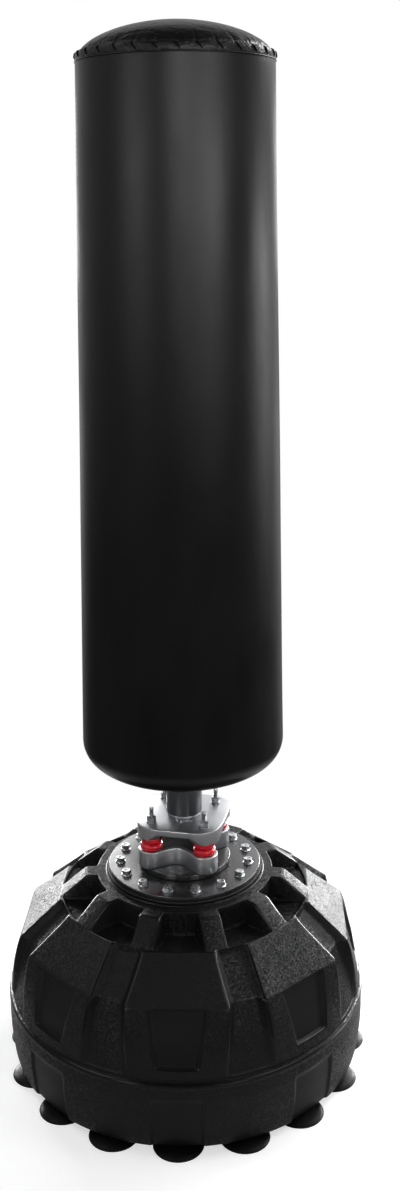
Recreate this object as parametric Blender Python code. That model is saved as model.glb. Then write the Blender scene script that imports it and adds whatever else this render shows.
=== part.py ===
"""Free-standing punching bag on a water-filled base.

Metres, +Z up. The origin is on the floor under the middle of the base, and the front is -Y.
"""

import math

import bmesh
import bpy
from mathutils import Vector

# Seating gap left between pieces that touch, small bevel, and how far a cutter runs past a face
GAP = 0.0003
EDGE = 0.001
PAST = 0.002

# Base tank: heights of its bands, and the radius at the middle of a lobe there
LOBES = 8
TANK_UNDERSIDE_Z = 0.012
TANK_BELLY_R = 0.2912
TANK_BELLY_Z = 0.085
TANK_FOOT_IN = 0.0110
TANK_FOOT_R = TANK_BELLY_R - TANK_FOOT_IN
TANK_FOOT_BEVEL = 0.005
BEAD_Z = 0.1075
BEAD_OUT = 0.0022
BEAD_HALF = 0.002
PANEL_FOOT_IN = 0.0017
PANEL_FOOT_R = TANK_BELLY_R - PANEL_FOOT_IN
PANEL_FOOT_Z = 0.1175
PANEL_FOOT_STEP = 0.003
BEND_R = 0.2655
BEND_Z = 0.2085
LEDGE_R = 0.204
LEDGE_Z = 0.258
CONE_TOP_R = 0.165
CONE_TOP_Z = 0.288
NECK_R = 0.132
NECK_TOP_Z = 0.290
TANK_WALL = 0.007
CHANNEL_DEPTH = 0.0095
CHANNEL_END = 0.009
PANEL_WALL_DEG = 1.6
PANEL_FOOT_DEG = 14.8
PANEL_BEND_DEG = 16.6
PANEL_HEAD_DEG = 15.2
POCKET_DEPTH = 0.0065
POCKET_FOOT_Z = 0.130
POCKET_HEAD_Z = 0.206
POCKET_FOOT_DEG = 6.4
POCKET_HEAD_DEG = 9.8
POCKET_DRAFT = 0.0022
POCKET_WALL_DEG = 0.9
FLUTE_DEPTH = 0.0035
FLUTE_TOP_Z = 0.089
FLUTE_DEG = 8.2
CAVITY_FLOOR = 0.0085
NECK_DEPTH = 0.018

# Pockets moulded into the shoulder of the tank, between its radial ribs
SHOULDER_RIBS = 10
RIB_PITCH_DEG = 33.3
RIB_WIDTH = 0.034
SHOULDER_FLOOR_Z = 0.252
SHOULDER_BACK_R = 0.147
SHOULDER_MOUTH_R = 0.2035

# Filler opening in the wide rear pocket, with its screw cap and seal
FILLER_BORE_R = 0.018
FILLER_PLUG_R = 0.0172
FILLER_PLUG_LENGTH = 0.0085
FILLER_CAP_R = 0.0245
FILLER_TO_WALL = 0.0045
FILLER_R = SHOULDER_BACK_R + FILLER_CAP_R + FILLER_TO_WALL
FILLER_CAP_HEIGHT = 0.0135
FILLER_GRIP_DEPTH = 0.0015
FILLER_GRIPS = 12
SEAL_HEIGHT = 0.002
SEAL_WIDTH = 0.0045

# Suction cups under the edge of the tank
CUPS = 16
CUP_INSET = 0.0247
CUP_RING_R = TANK_FOOT_R - CUP_INSET
CUP_R = 0.0385
CUP_RIM = 0.003
CUP_SHOULDER_SHARE = 0.75
CUP_BOSS_R = 0.0142
CUP_STEM_R = 0.0055
CUP_STEM_LENGTH = 0.0065

# Flange that is bolted to the neck, and the rubber gasket under it
GASKET_R = 0.128
GASKET_HEIGHT = 0.003
FLANGE_R = 0.1258
FLANGE_THICK = 0.0064
RISER_R = 0.076
RISER_THICK = 0.0094
FLANGE_BORE_R = 0.060
BOLTS = 15
BOLT_CIRCLE_R = 0.1065
BOLT_R = 0.005
BOLT_LENGTH = 0.022
BOLT_HEAD_FLAT = 0.0135
BOLT_HEAD_HEIGHT = 0.0055
BOLT_COLLAR_R = 0.0088
BOLT_COLLAR_HEIGHT = 0.0018
HOLE_CLEARANCE = 0.0005

# Spring plates, the four bushings between them and their studs
STUD_CIRCLE_R = 0.063
STUD_TURN_DEG = 34.0
STUD_R = 0.004
STUD_ABOVE_PLATE = 0.0240
STUD_HEAD_R = 0.0090
STUD_HEAD_HEIGHT = 0.0020
STUD_HEAD_DEPTH = 0.0151
LOBE_R = 0.022
LOWER_PLATE_THICK = 0.0267
LOWER_PLATE_WAIST = 0.040
COUNTERBORE_R = 0.0145
COUNTERBORE_LEFT = 0.0048
STUD_HOLE_R = 0.0078
BUSHING_R = 0.0175
BUSHING_BORE_R = 0.0085
BUSHING_HEIGHT = 0.0200
BUSHING_WAIST = 0.0012
UPPER_PLATE_THICK = 0.0100
UPPER_PAD_HEIGHT = 0.0115
UPPER_PLATE_SIDE = 0.072
UPPER_PLATE_CORNER = 0.0845
PAD_R = 0.0215
PAD_BLEND = 0.011
NUT_FLAT = 0.013
NUT_HEIGHT = 0.009
WASHER_R = 0.0085
WASHER_HEIGHT = 0.0016

# Post: the bag's steel tube drops over a spigot on the upper plate
POST_R = 0.03015
POST_WALL = 0.0025
POST_TOP_Z = 1.600
SPIGOT_COLLAR_HEIGHT = 0.0042
SPIGOT_COLLAR_R = 0.0288
SPIGOT_LENGTH = 0.150
SPIGOT_WALL = 0.003
PLUG_DEPTH = 0.020
PLUG_CAP = 0.003

# Bag
BAG_R = 0.1665
BAG_BOTTOM_Z = 0.4735
BAG_CORNER_R = 0.038
COVER_WALL = 0.003
COVER_HOLE_CLEARANCE = 0.003
SEAM_ABOVE_POST = 0.031
SEAM_Z = POST_TOP_Z + SEAM_ABOVE_POST
DOME_HEIGHT = 0.0695
DOME_FULLNESS = 1.8
PIPING_R = 0.0013
LACE_HOLES = 30
LACE_R = 0.0010
LACE_TOP = 0.0145
LACE_FOOT = 0.0055
LACE_LEAN = 0.3
LACE_OUT = 1.45
BAG_SIDES = 40

# Heights that follow from the stack of pieces above the neck
GASKET_Z = NECK_TOP_Z + GAP
FLANGE_Z = GASKET_Z + GASKET_HEIGHT + GAP
RISER_Z = FLANGE_Z + FLANGE_THICK + GAP
LOWER_PLATE_Z = RISER_Z + RISER_THICK + GAP
BUSHING_Z = LOWER_PLATE_Z + LOWER_PLATE_THICK + GAP
UPPER_PAD_Z = BUSHING_Z + BUSHING_HEIGHT + GAP
UPPER_PLATE_Z = UPPER_PAD_Z + UPPER_PAD_HEIGHT
PLATE_TOP_Z = UPPER_PLATE_Z + UPPER_PLATE_THICK
PIVOT_Z = BUSHING_Z + BUSHING_HEIGHT / 2
POST_Z = PLATE_TOP_Z + GAP + SPIGOT_COLLAR_HEIGHT + GAP

# Colours, roughness and metallic value of each finish
FINISHES = {
    "black_polyethylene": ((0.020, 0.020, 0.021), 0.55, 0.0),
    "black_rubber": ((0.012, 0.012, 0.012), 0.60, 0.0),
    "dark_painted_steel": ((0.035, 0.036, 0.038), 0.40, 0.6),
    "silver_painted_steel": ((0.42, 0.43, 0.44), 0.35, 0.8),
    "grey_painted_steel": ((0.085, 0.087, 0.09), 0.40, 0.6),
    "zinc_plated_steel": ((0.70, 0.70, 0.71), 0.22, 1.0),
    "red_polyurethane": ((0.62, 0.01, 0.02), 0.28, 0.0),
    "black_coated_fabric": ((0.014, 0.014, 0.015), 0.38, 0.0),
    "grey_foam": ((0.32, 0.32, 0.33), 0.9, 0.0),
}


def clear_scene():
    for item in list(bpy.data.objects):
        bpy.data.objects.remove(item)


def finish(name):
    """The material of that finish, made the first time it is asked for."""
    material = bpy.data.materials.get(name)
    if material is None:
        colour, roughness, metallic = FINISHES[name]
        material = bpy.data.materials.new(name)
        material.use_nodes = True
        shader = material.node_tree.nodes["Principled BSDF"]
        shader.inputs["Base Color"].default_value = (*colour, 1.0)
        shader.inputs["Roughness"].default_value = roughness
        shader.inputs["Metallic"].default_value = metallic
    return material


def place(bm, name, material, parent, spot=(0, 0, 0), turn_deg=0.0):
    """Turns a bmesh in its own frame into a named object, set at spot under its parent."""
    bmesh.ops.recalc_face_normals(bm, faces=bm.faces)
    mesh = bpy.data.meshes.new(name)
    bm.to_mesh(mesh)
    bm.free()
    mesh.shade_smooth()
    mesh.set_sharp_from_angle(angle=math.radians(35))
    item = bpy.data.objects.new(name, mesh)
    bpy.context.scene.collection.objects.link(item)
    item.parent = parent
    item.location = spot
    item.rotation_euler = (0, 0, math.radians(turn_deg))
    if material:
        mesh.materials.append(finish(material))
    return item


def copy_of(item, name, spot, turn_deg):
    """Another object that shares the first one's mesh."""
    twin = bpy.data.objects.new(name, item.data)
    bpy.context.scene.collection.objects.link(twin)
    twin.parent = item.parent
    twin.location = spot
    twin.rotation_euler = (0, 0, math.radians(turn_deg))
    return twin


def cut(item, cutter):
    """Cuts the cutter out of the item and keeps the cutter out of the build."""
    cutter.hide_render = True
    cutter.display_type = "WIRE"
    step = item.modifiers.new("cut " + cutter.name, "BOOLEAN")
    step.operation = "DIFFERENCE"
    step.object = cutter


def ring_of(bm, points):
    return [bm.verts.new(p) for p in points]


def skin(bm, rings, closed):
    """Quads between rings of equal length, and from the last ring back to the first if closed."""
    pairs = list(zip(rings, rings[1:]))
    if closed:
        pairs.append((rings[-1], rings[0]))
    for a, b in pairs:
        for i in range(len(a)):
            j = (i + 1) % len(a)
            bm.faces.new((a[i], a[j], b[j], b[i]))


def turned(bm, profile, segments, spot=(0, 0)):
    """A solid of revolution: (radius, z) points round its section. Ends at radius 0 close on the axis."""
    open_ends = profile[0][0] == 0 and profile[-1][0] == 0
    body = profile[1:-1] if open_ends else profile
    rings = []
    for radius, z in body:
        rings.append(ring_of(bm, [
            (spot[0] + radius * math.cos(math.tau * i / segments),
             spot[1] + radius * math.sin(math.tau * i / segments), z)
            for i in range(segments)
        ]))
    skin(bm, rings, closed=not open_ends)
    if open_ends:
        for ring, (_, z) in ((rings[0], profile[0]), (rings[-1], profile[-1])):
            pole = bm.verts.new((*spot, z))
            for i in range(segments):
                bm.faces.new((ring[i], ring[(i + 1) % segments], pole))


def rod(bm, radius, low, high, segments, spot=(0, 0)):
    turned(bm, [(0, low), (radius, low), (radius, high), (0, high)], segments, spot)


def hole(bm, radius, low, high, segments, spot):
    """A round hole's cutter, whose flats, not its corners, lie at the radius."""
    rod(bm, radius / math.cos(math.pi / segments), low, high, segments, spot)


def around(radius, angle_deg):
    """A point on a circle; 0 degrees is the front, -Y, and the angle grows towards +X."""
    angle = math.radians(angle_deg)
    return (radius * math.sin(angle), -radius * math.cos(angle))


def evenly(count, first_deg=0.0):
    return [first_deg + 360.0 * i / count for i in range(count)]


def arc(cx, cz, radius, start_deg, end_deg, steps):
    """Points of a rounded corner in a section, from one angle to the other."""
    points = []
    for i in range(steps + 1):
        angle = math.radians(start_deg + (end_deg - start_deg) * i / steps)
        points.append((cx + radius * math.cos(angle), cz + radius * math.sin(angle)))
    return points


def between(value, points):
    """Straight-line value at a place along a list of (place, value)."""
    if value <= points[0][0]:
        return points[0][1]
    for (a, low), (b, high) in zip(points, points[1:]):
        if value <= b:
            return low + (high - low) * (value - a) / (b - a)
    return points[-1][1]


def between_foot_and_belly(share):
    return TANK_UNDERSIDE_Z + share * (TANK_BELLY_Z - TANK_UNDERSIDE_Z)


def lobe_radius(z):
    """Radius at the middle of a lobe, without its recesses."""
    rise = BEND_Z - PANEL_FOOT_Z
    return between(z, [
        (TANK_UNDERSIDE_Z, TANK_FOOT_R - TANK_FOOT_BEVEL),
        (TANK_UNDERSIDE_Z + 0.3 * TANK_FOOT_BEVEL, TANK_FOOT_R),
        (between_foot_and_belly(0.2), TANK_FOOT_R + 0.42 * (TANK_BELLY_R - TANK_FOOT_R)),
        (between_foot_and_belly(0.64), TANK_FOOT_R + 0.85 * (TANK_BELLY_R - TANK_FOOT_R)),
        (TANK_BELLY_Z, TANK_BELLY_R),
        (PANEL_FOOT_Z, PANEL_FOOT_R),
        (PANEL_FOOT_Z + 0.45 * rise, PANEL_FOOT_R - 0.33 * (PANEL_FOOT_R - BEND_R)),
        (BEND_Z, BEND_R),
        (LEDGE_Z, LEDGE_R),
        (CONE_TOP_Z, CONE_TOP_R),
    ])


def channel_depth(z):
    """How far the channels between the lobes lie behind the lobe's own radius."""
    return between(z, [
        (PANEL_FOOT_Z, 0.5 * CHANNEL_DEPTH),
        (BEND_Z, 0.75 * CHANNEL_DEPTH),
        (LEDGE_Z - CHANNEL_END, CHANNEL_DEPTH),
        (LEDGE_Z, 0.0),
    ])


def flatness(z):
    """1 where a lobe's face is flat from edge to edge, 0 where it is round about the axis."""
    return between(z, [
        (PANEL_FOOT_Z, 0.0),
        (POCKET_FOOT_Z + 0.75 * (BEND_Z - POCKET_FOOT_Z), 1.0),
        (LEDGE_Z, 1.0),
        (LEDGE_Z + PAST, 0.0),
    ])


def tank_row(z, inset=0.0, recess=None, channels=True):
    """One row of the tank's outer skin: a list of points round it.

    recess is (half angle, depth) of a pocket or flute in the middle of each lobe.
    """
    half_angle, depth = recess or (POCKET_HEAD_DEG, 0.0)
    panel = between(z, [
        (PANEL_FOOT_Z, PANEL_FOOT_DEG), (BEND_Z, PANEL_BEND_DEG), (LEDGE_Z, PANEL_HEAD_DEG),
    ])
    radius = lobe_radius(z) - inset
    flat = flatness(z)
    points = []
    for middle in evenly(LOBES):
        columns = [
            (-180 / LOBES, "channel"), (-panel - PANEL_WALL_DEG, "channel"), (-panel, "panel"),
            (-half_angle, "panel"), (POCKET_WALL_DEG - half_angle, "recess"), (0.0, "recess"),
            (half_angle - POCKET_WALL_DEG, "recess"), (half_angle, "panel"),
            (panel, "panel"), (panel + PANEL_WALL_DEG, "channel"),
        ]
        for angle, kind in columns:
            r = radius * (1 + flat * (1 / math.cos(math.radians(angle)) - 1))
            if kind == "channel":
                r = radius - channel_depth(z) if channels else radius
            if kind == "recess":
                r -= depth
            points.append((*around(r, middle + angle), z))
    return points


def tank_rows():
    """Every row of the outer skin, from the foot to the top of the cone."""
    foot = TANK_UNDERSIDE_Z
    flute = (FLUTE_DEG, FLUTE_DEPTH)
    plain = {"channels": False}
    rows = [
        tank_row(foot, recess=flute, **plain),
        tank_row(foot + 0.3 * TANK_FOOT_BEVEL, recess=flute, **plain),
        tank_row(between_foot_and_belly(0.2), recess=flute, **plain),
        tank_row(between_foot_and_belly(0.64), recess=flute, **plain),
        tank_row(FLUTE_TOP_Z - 2 * FLUTE_DEPTH, recess=flute, **plain),
        tank_row(FLUTE_TOP_Z, recess=(FLUTE_DEG, 0.0), **plain),
        tank_row(BEAD_Z - 2 * BEAD_HALF, **plain),
        tank_row(BEAD_Z - BEAD_HALF, inset=-BEAD_OUT, **plain),
        tank_row(BEAD_Z + BEAD_HALF, inset=-BEAD_OUT, **plain),
        tank_row(BEAD_Z + 2 * BEAD_HALF, **plain),
        tank_row(BEAD_Z + 2.3 * BEAD_HALF, inset=PANEL_FOOT_STEP, **plain),
        tank_row(PANEL_FOOT_Z - EDGE, inset=PANEL_FOOT_STEP, **plain),
        tank_row(PANEL_FOOT_Z, recess=(POCKET_FOOT_DEG, 0.0)),
        tank_row(POCKET_FOOT_Z, recess=(POCKET_FOOT_DEG, 0.0)),
    ]
    low = POCKET_FOOT_Z + POCKET_DRAFT
    high = POCKET_HEAD_Z - POCKET_DRAFT
    for z in (low, low + 0.5 * (high - low), high):
        share = (z - POCKET_FOOT_Z) / (POCKET_HEAD_Z - POCKET_FOOT_Z)
        half_angle = POCKET_FOOT_DEG + share * (POCKET_HEAD_DEG - POCKET_FOOT_DEG)
        rows.append(tank_row(z, recess=(half_angle, POCKET_DEPTH)))
    rows += [
        tank_row(POCKET_HEAD_Z, recess=(POCKET_HEAD_DEG, 0.0)),
        tank_row(BEND_Z),
        tank_row(LEDGE_Z - CHANNEL_END),
        tank_row(LEDGE_Z),
        tank_row(LEDGE_Z + PAST, **plain),
        tank_row(CONE_TOP_Z, **plain),
    ]
    return rows


def tank_cavity(bm):
    """The water space: a wall's thickness inside the channels, with a thick ring for the bolts."""
    def wall_radius(z):
        return lobe_radius(z) - channel_depth(z) - TANK_WALL

    floor = TANK_UNDERSIDE_Z + CAVITY_FLOOR
    ceiling = SHOULDER_FLOOR_Z - TANK_WALL
    profile = [(0, floor), (TANK_FOOT_R - 2 * TANK_WALL, floor)]
    for z in (floor + TANK_WALL, BEAD_Z / 2, FLUTE_TOP_Z, PANEL_FOOT_Z, 0.5 * (PANEL_FOOT_Z + BEND_Z)):
        profile.append((wall_radius(z) - FLUTE_DEPTH, z))
    profile.append((wall_radius(BEND_Z - TANK_WALL), BEND_Z - TANK_WALL))
    profile.append((wall_radius(ceiling - TANK_WALL) - TANK_WALL, ceiling - 0.5 * TANK_WALL))
    profile.append((LEDGE_R - 2.5 * TANK_WALL, ceiling))
    neck = SHOULDER_BACK_R - 1.5 * TANK_WALL
    roof = NECK_TOP_Z - NECK_DEPTH
    profile += [(neck, ceiling), (neck - TANK_WALL, roof), (0, roof)]
    turned(bm, profile, 40)


def rib_angles():
    """Ribs are even on both sides of the front, which leaves the widest pocket at the rear."""
    half = [RIB_PITCH_DEG * (i + 0.5) for i in range(SHOULDER_RIBS // 2)]
    return half + [360 - angle for angle in reversed(half)]


def shoulder_pockets(bm):
    """Cutters for the pockets round the neck, whose sides run along the parallel sides of the ribs."""
    top = NECK_TOP_Z + PAST
    angles = rib_angles()
    for start, end in zip(angles, angles[1:] + [angles[0] + 360]):
        outline = []
        for radius, order in ((SHOULDER_BACK_R, 1), (SHOULDER_MOUTH_R, -1)):
            beside_rib = math.degrees(math.asin(RIB_WIDTH / 2 / radius))
            first, last = start + beside_rib, end - beside_rib
            outline += [around(radius, first + (last - first) * i / 3) for i in range(4)][::order]
        low = ring_of(bm, [(x, y, SHOULDER_FLOOR_Z) for x, y in outline])
        high = ring_of(bm, [(x, y, top) for x, y in outline])
        skin(bm, [low, high], closed=False)
        bm.faces.new(low)
        bm.faces.new(high)


def base_tank(parent):
    bm = bmesh.new()
    rings = [ring_of(bm, row) for row in tank_rows()]
    edge = [v.co.copy() for v in rings[-1]]
    for radius, z in ((NECK_R, CONE_TOP_Z), (NECK_R - EDGE, NECK_TOP_Z)):
        rings.append(ring_of(bm, [(v.x * radius / CONE_TOP_R, v.y * radius / CONE_TOP_R, z) for v in edge]))
    skin(bm, rings, closed=False)
    bm.faces.new(rings[0])
    bm.faces.new(rings[-1])
    tank = place(bm, "base_tank", "black_polyethylene", parent)

    bm = bmesh.new()
    tank_cavity(bm)
    cut(tank, place(bm, "cutter_cavity", None, parent))
    bm = bmesh.new()
    shoulder_pockets(bm)
    cut(tank, place(bm, "cutter_shoulder", None, parent))
    bm = bmesh.new()
    floor = SHOULDER_FLOOR_Z
    rod(bm, FILLER_BORE_R, floor - TANK_WALL - PAST, floor + PAST, 24, around(FILLER_R, 180))
    for angle in evenly(BOLTS, 180.0):
        low = FLANGE_Z + FLANGE_THICK - BOLT_LENGTH - PAST
        hole(bm, BOLT_R + GAP, low, NECK_TOP_Z + PAST, 6, around(BOLT_CIRCLE_R, angle))
    for angle in evenly(CUPS):
        high = TANK_UNDERSIDE_Z + CUP_STEM_LENGTH
        hole(bm, CUP_STEM_R + GAP, TANK_UNDERSIDE_Z - PAST, high, 8, around(CUP_RING_R, angle))
    cut(tank, place(bm, "cutter_holes", None, parent))


def suction_cups(parent):
    top = TANK_UNDERSIDE_Z - GAP
    shoulder = CUP_BOSS_R + CUP_SHOULDER_SHARE * (CUP_R - CUP_BOSS_R)
    profile = [
        (0, 0.5 * top), (CUP_R - 2.6 * CUP_RIM, 0.25 * top), (CUP_R - CUP_RIM, 0),
        (CUP_R, 0), (shoulder, 0.42 * top), (CUP_BOSS_R, 0.88 * top), (CUP_BOSS_R, top),
        (CUP_STEM_R, top), (CUP_STEM_R, top + CUP_STEM_LENGTH), (0, top + CUP_STEM_LENGTH),
    ]
    bm = bmesh.new()
    turned(bm, profile, 12)
    first = None
    for number, angle in enumerate(evenly(CUPS), 1):
        name = f"suction_cup_{number:02d}"
        spot = (*around(CUP_RING_R, angle), 0)
        if first is None:
            first = place(bm, name, "black_rubber", parent, spot, angle)
        else:
            copy_of(first, name, spot, angle)


def filler(parent):
    spot = (*around(FILLER_R, 180), SHOULDER_FLOOR_Z)
    seal_low = GAP
    seal_high = GAP + SEAL_HEIGHT
    bore = FILLER_BORE_R + GAP
    edge = bore + SEAL_WIDTH
    bm = bmesh.new()
    turned(bm, [(bore, seal_low), (edge, seal_low), (edge, seal_high), (bore, seal_high)], 24)
    place(bm, "filler_seal", "black_rubber", parent, spot)

    bm = bmesh.new()
    low = seal_high + GAP
    high = low + FILLER_CAP_HEIGHT
    segments = 2 * FILLER_GRIPS

    def grip(z):
        """One level of the fluted side: every second point lies in a flute."""
        depth = [FILLER_GRIP_DEPTH * (i % 2) for i in range(segments)]
        turns = evenly(segments)
        return ring_of(bm, [(*around(FILLER_CAP_R - d, a), z) for d, a in zip(depth, turns)])

    rings = [
        circle(bm, FILLER_PLUG_R, seal_low - FILLER_PLUG_LENGTH, segments),
        circle(bm, FILLER_PLUG_R, low, segments),
        grip(low),
        grip(high - FILLER_GRIP_DEPTH),
        circle(bm, FILLER_CAP_R - 2 * FILLER_GRIP_DEPTH, high, segments),
    ]
    skin(bm, rings, closed=False)
    bm.faces.new(rings[0])
    bm.faces.new(rings[-1])
    place(bm, "filler_cap", "black_polyethylene", parent, spot)


def flange(parent):
    bm = bmesh.new()
    top = GASKET_Z + GASKET_HEIGHT
    turned(bm, [(FLANGE_BORE_R, GASKET_Z), (GASKET_R, GASKET_Z), (GASKET_R, top), (FLANGE_BORE_R, top)], 40)
    gasket = place(bm, "neck_gasket", "black_rubber", parent)

    bm = bmesh.new()
    top = FLANGE_Z + FLANGE_THICK
    turned(bm, [
        (FLANGE_BORE_R, FLANGE_Z), (FLANGE_R, FLANGE_Z), (FLANGE_R, top - EDGE),
        (FLANGE_R - EDGE, top), (FLANGE_BORE_R, top),
    ], 40)
    plate = place(bm, "flange_plate", "dark_painted_steel", parent)

    bm = bmesh.new()
    for angle in evenly(BOLTS, 180.0):
        hole(bm, BOLT_R + HOLE_CLEARANCE, GASKET_Z - PAST, top + PAST, 6, around(BOLT_CIRCLE_R, angle))
    cutter = place(bm, "cutter_bolts", None, parent)
    cut(gasket, cutter)
    cut(plate, cutter)

    bm = bmesh.new()
    top = RISER_Z + RISER_THICK
    rim = RISER_R - EDGE
    turned(bm, [(0, RISER_Z), (RISER_R, RISER_Z), (RISER_R, top - EDGE), (rim, top), (0, top)], 40)
    place(bm, "riser_disc", "dark_painted_steel", parent)


def hexagon(bm, flat, z, segments=12):
    """A hexagon's outline with a point at each corner and at the middle of each side."""
    points = []
    for i in range(segments):
        radius = flat / 2 / (math.cos(math.pi / 6) if i % 2 == 0 else 1.0)
        points.append((*around(radius, 360 * i / segments), z))
    return ring_of(bm, points)


def circle(bm, radius, z, segments=12):
    return ring_of(bm, [(*around(radius, 360 * i / segments), z) for i in range(segments)])


def flange_bolts(parent):
    seat = FLANGE_Z + FLANGE_THICK + GAP
    collar = BOLT_COLLAR_HEIGHT
    bm = bmesh.new()
    rings = [
        circle(bm, BOLT_R, -BOLT_LENGTH), circle(bm, BOLT_R, 0), circle(bm, BOLT_COLLAR_R, 0),
        circle(bm, BOLT_COLLAR_R, 0.6 * collar), hexagon(bm, BOLT_HEAD_FLAT, collar),
        hexagon(bm, BOLT_HEAD_FLAT, collar + BOLT_HEAD_HEIGHT),
    ]
    skin(bm, rings, closed=False)
    bm.faces.new(rings[0])
    bm.faces.new(rings[-1])
    first = None
    for number, angle in enumerate(evenly(BOLTS, 180.0), 1):
        name = f"flange_bolt_{number:02d}"
        spot = (*around(BOLT_CIRCLE_R, angle), seat)
        if first is None:
            first = place(bm, name, "zinc_plated_steel", parent, spot, angle)
        else:
            copy_of(first, name, spot, angle)


def stud_angles():
    return evenly(4, STUD_TURN_DEG)


def lower_outline():
    """Four round lobes joined by hollow sides, as (x, y) points."""
    half = STUD_CIRCLE_R * math.sin(math.pi / 4)
    depth = half + LOBE_R - LOWER_PLATE_WAIST
    points = []
    for angle in stud_angles():
        cx, cy = around(STUD_CIRCLE_R, angle)
        for i in range(9):
            x, y = around(LOBE_R, angle - 70 + 140 * i / 8)
            points.append((cx + x, cy + y))
        for share in (0.25, 0.5, 0.75):
            start = around(STUD_CIRCLE_R, angle)
            end = around(STUD_CIRCLE_R, angle + 90)
            edge = half + LOBE_R - depth * math.sin(math.pi * share) ** 1.1
            out = around(edge, angle + 45)
            along = share - 0.5
            side = (end[0] - start[0], end[1] - start[1])
            points.append((out[0] + 0.82 * along * side[0], out[1] + 0.82 * along * side[1]))
    return points


def plate_edge(angle_deg):
    """Radius of the upper plate's edge there: a square with bulging sides and round corners."""
    power = 1 / (0.5 - math.log2(UPPER_PLATE_CORNER / UPPER_PLATE_SIDE))
    turn = math.radians(angle_deg - STUD_TURN_DEG + 45)
    return UPPER_PLATE_SIDE / (abs(math.cos(turn)) ** power + abs(math.sin(turn)) ** power) ** (1 / power)


def spring_plates(parent, rocking):
    bm = bmesh.new()
    outline = lower_outline()
    top = LOWER_PLATE_Z + LOWER_PLATE_THICK
    rings = [ring_of(bm, [(x, y, z) for x, y in outline]) for z in (LOWER_PLATE_Z, top)]
    skin(bm, rings, closed=False)
    bm.faces.new(rings[0])
    bm.faces.new(rings[1])
    lower = place(bm, "lower_spring_plate", "silver_painted_steel", parent)
    bm = bmesh.new()
    for angle in stud_angles():
        spot = around(STUD_CIRCLE_R, angle)
        turned(bm, [
            (0, LOWER_PLATE_Z - PAST), (COUNTERBORE_R, LOWER_PLATE_Z - PAST),
            (COUNTERBORE_R, top - COUNTERBORE_LEFT), (STUD_HOLE_R, top - COUNTERBORE_LEFT),
            (STUD_HOLE_R, top + PAST), (0, top + PAST),
        ], 16, spot)
    cut(lower, place(bm, "cutter_counterbores", None, parent))

    studs = [Vector(around(STUD_CIRCLE_R, angle)) for angle in stud_angles()]

    def underside(x, y):
        """The pads under the corners swell smoothly out of the thinner middle."""
        nearest = min((Vector((x, y)) - stud).length for stud in studs)
        share = min(max((nearest - PAD_R) / PAD_BLEND, 0), 1)
        return UPPER_PAD_Z + UPPER_PAD_HEIGHT * share * share * (3 - 2 * share)

    segments = 40
    bm = bmesh.new()
    directions = [(360 * i / segments + STUD_TURN_DEG) for i in range(segments)]
    below = []
    for share in (0.3, 0.48, 0.62, 0.76, 1.0):
        ring = []
        for angle in directions:
            x, y = around(share * plate_edge(angle), angle)
            ring.append((x, y, underside(x, y)))
        below.append(ring_of(bm, ring))
    edge = ring_of(bm, [(*around(plate_edge(a), a), PLATE_TOP_Z - EDGE) for a in directions])
    face = ring_of(bm, [(*around(plate_edge(a) - EDGE, a), PLATE_TOP_Z) for a in directions])
    skin(bm, below + [edge, face], closed=False)
    bm.faces.new(below[0])
    bm.faces.new(face)
    upper = place(bm, "upper_spring_plate", "silver_painted_steel", rocking)
    upper.location.z = -PIVOT_Z
    bm = bmesh.new()
    for angle in stud_angles():
        spot = around(STUD_CIRCLE_R, angle)
        hole(bm, STUD_R + HOLE_CLEARANCE, UPPER_PAD_Z - PAST, PLATE_TOP_Z + PAST, 10, spot)
    cutter = place(bm, "cutter_stud_holes", None, rocking)
    cutter.location.z = -PIVOT_Z
    cut(upper, cutter)


def bushings_and_studs(bushing_parent, rocking):
    bushing = bmesh.new()
    height = BUSHING_HEIGHT
    turned(bushing, [
        (BUSHING_BORE_R, 0), (BUSHING_R - BUSHING_WAIST, 0), (BUSHING_R, 0.25 * height),
        (BUSHING_R - BUSHING_WAIST, 0.5 * height), (BUSHING_R, 0.75 * height),
        (BUSHING_R - BUSHING_WAIST, height), (BUSHING_BORE_R, height),
    ], 16)

    stud = bmesh.new()
    head = LOWER_PLATE_Z + LOWER_PLATE_THICK - STUD_HEAD_DEPTH - STUD_HEAD_HEIGHT
    tip = PLATE_TOP_Z + STUD_ABOVE_PLATE
    turned(stud, [
        (0, head), (STUD_HEAD_R, head), (STUD_HEAD_R, head + STUD_HEAD_HEIGHT),
        (STUD_R, head + STUD_HEAD_HEIGHT), (STUD_R, tip - EDGE), (STUD_R - EDGE, tip), (0, tip),
    ], 10)

    nut = bmesh.new()
    seat = PLATE_TOP_Z + GAP
    bore = STUD_R + GAP
    washer_top = seat + WASHER_HEIGHT
    nut_top = washer_top + NUT_HEIGHT
    rings = [
        circle(nut, bore, seat), circle(nut, WASHER_R, seat), circle(nut, WASHER_R, washer_top - GAP),
        hexagon(nut, NUT_FLAT, washer_top), hexagon(nut, NUT_FLAT, nut_top), circle(nut, bore, nut_top),
    ]
    skin(nut, rings, closed=True)

    firsts = {}
    for number, angle in enumerate(stud_angles(), 1):
        x, y = around(STUD_CIRCLE_R, angle)
        pieces = (
            ("bushing", bushing, "red_polyurethane", bushing_parent, (x, y, BUSHING_Z - PIVOT_Z)),
            ("stud", stud, "zinc_plated_steel", rocking, (x, y, -PIVOT_Z)),
            ("stud_nut", nut, "zinc_plated_steel", rocking, (x, y, -PIVOT_Z)),
        )
        for kind, bm, material, parent, spot in pieces:
            if kind in firsts:
                copy_of(firsts[kind], f"{kind}_{number}", spot, angle)
            else:
                firsts[kind] = place(bm, f"{kind}_{number}", material, parent, spot, angle)


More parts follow.
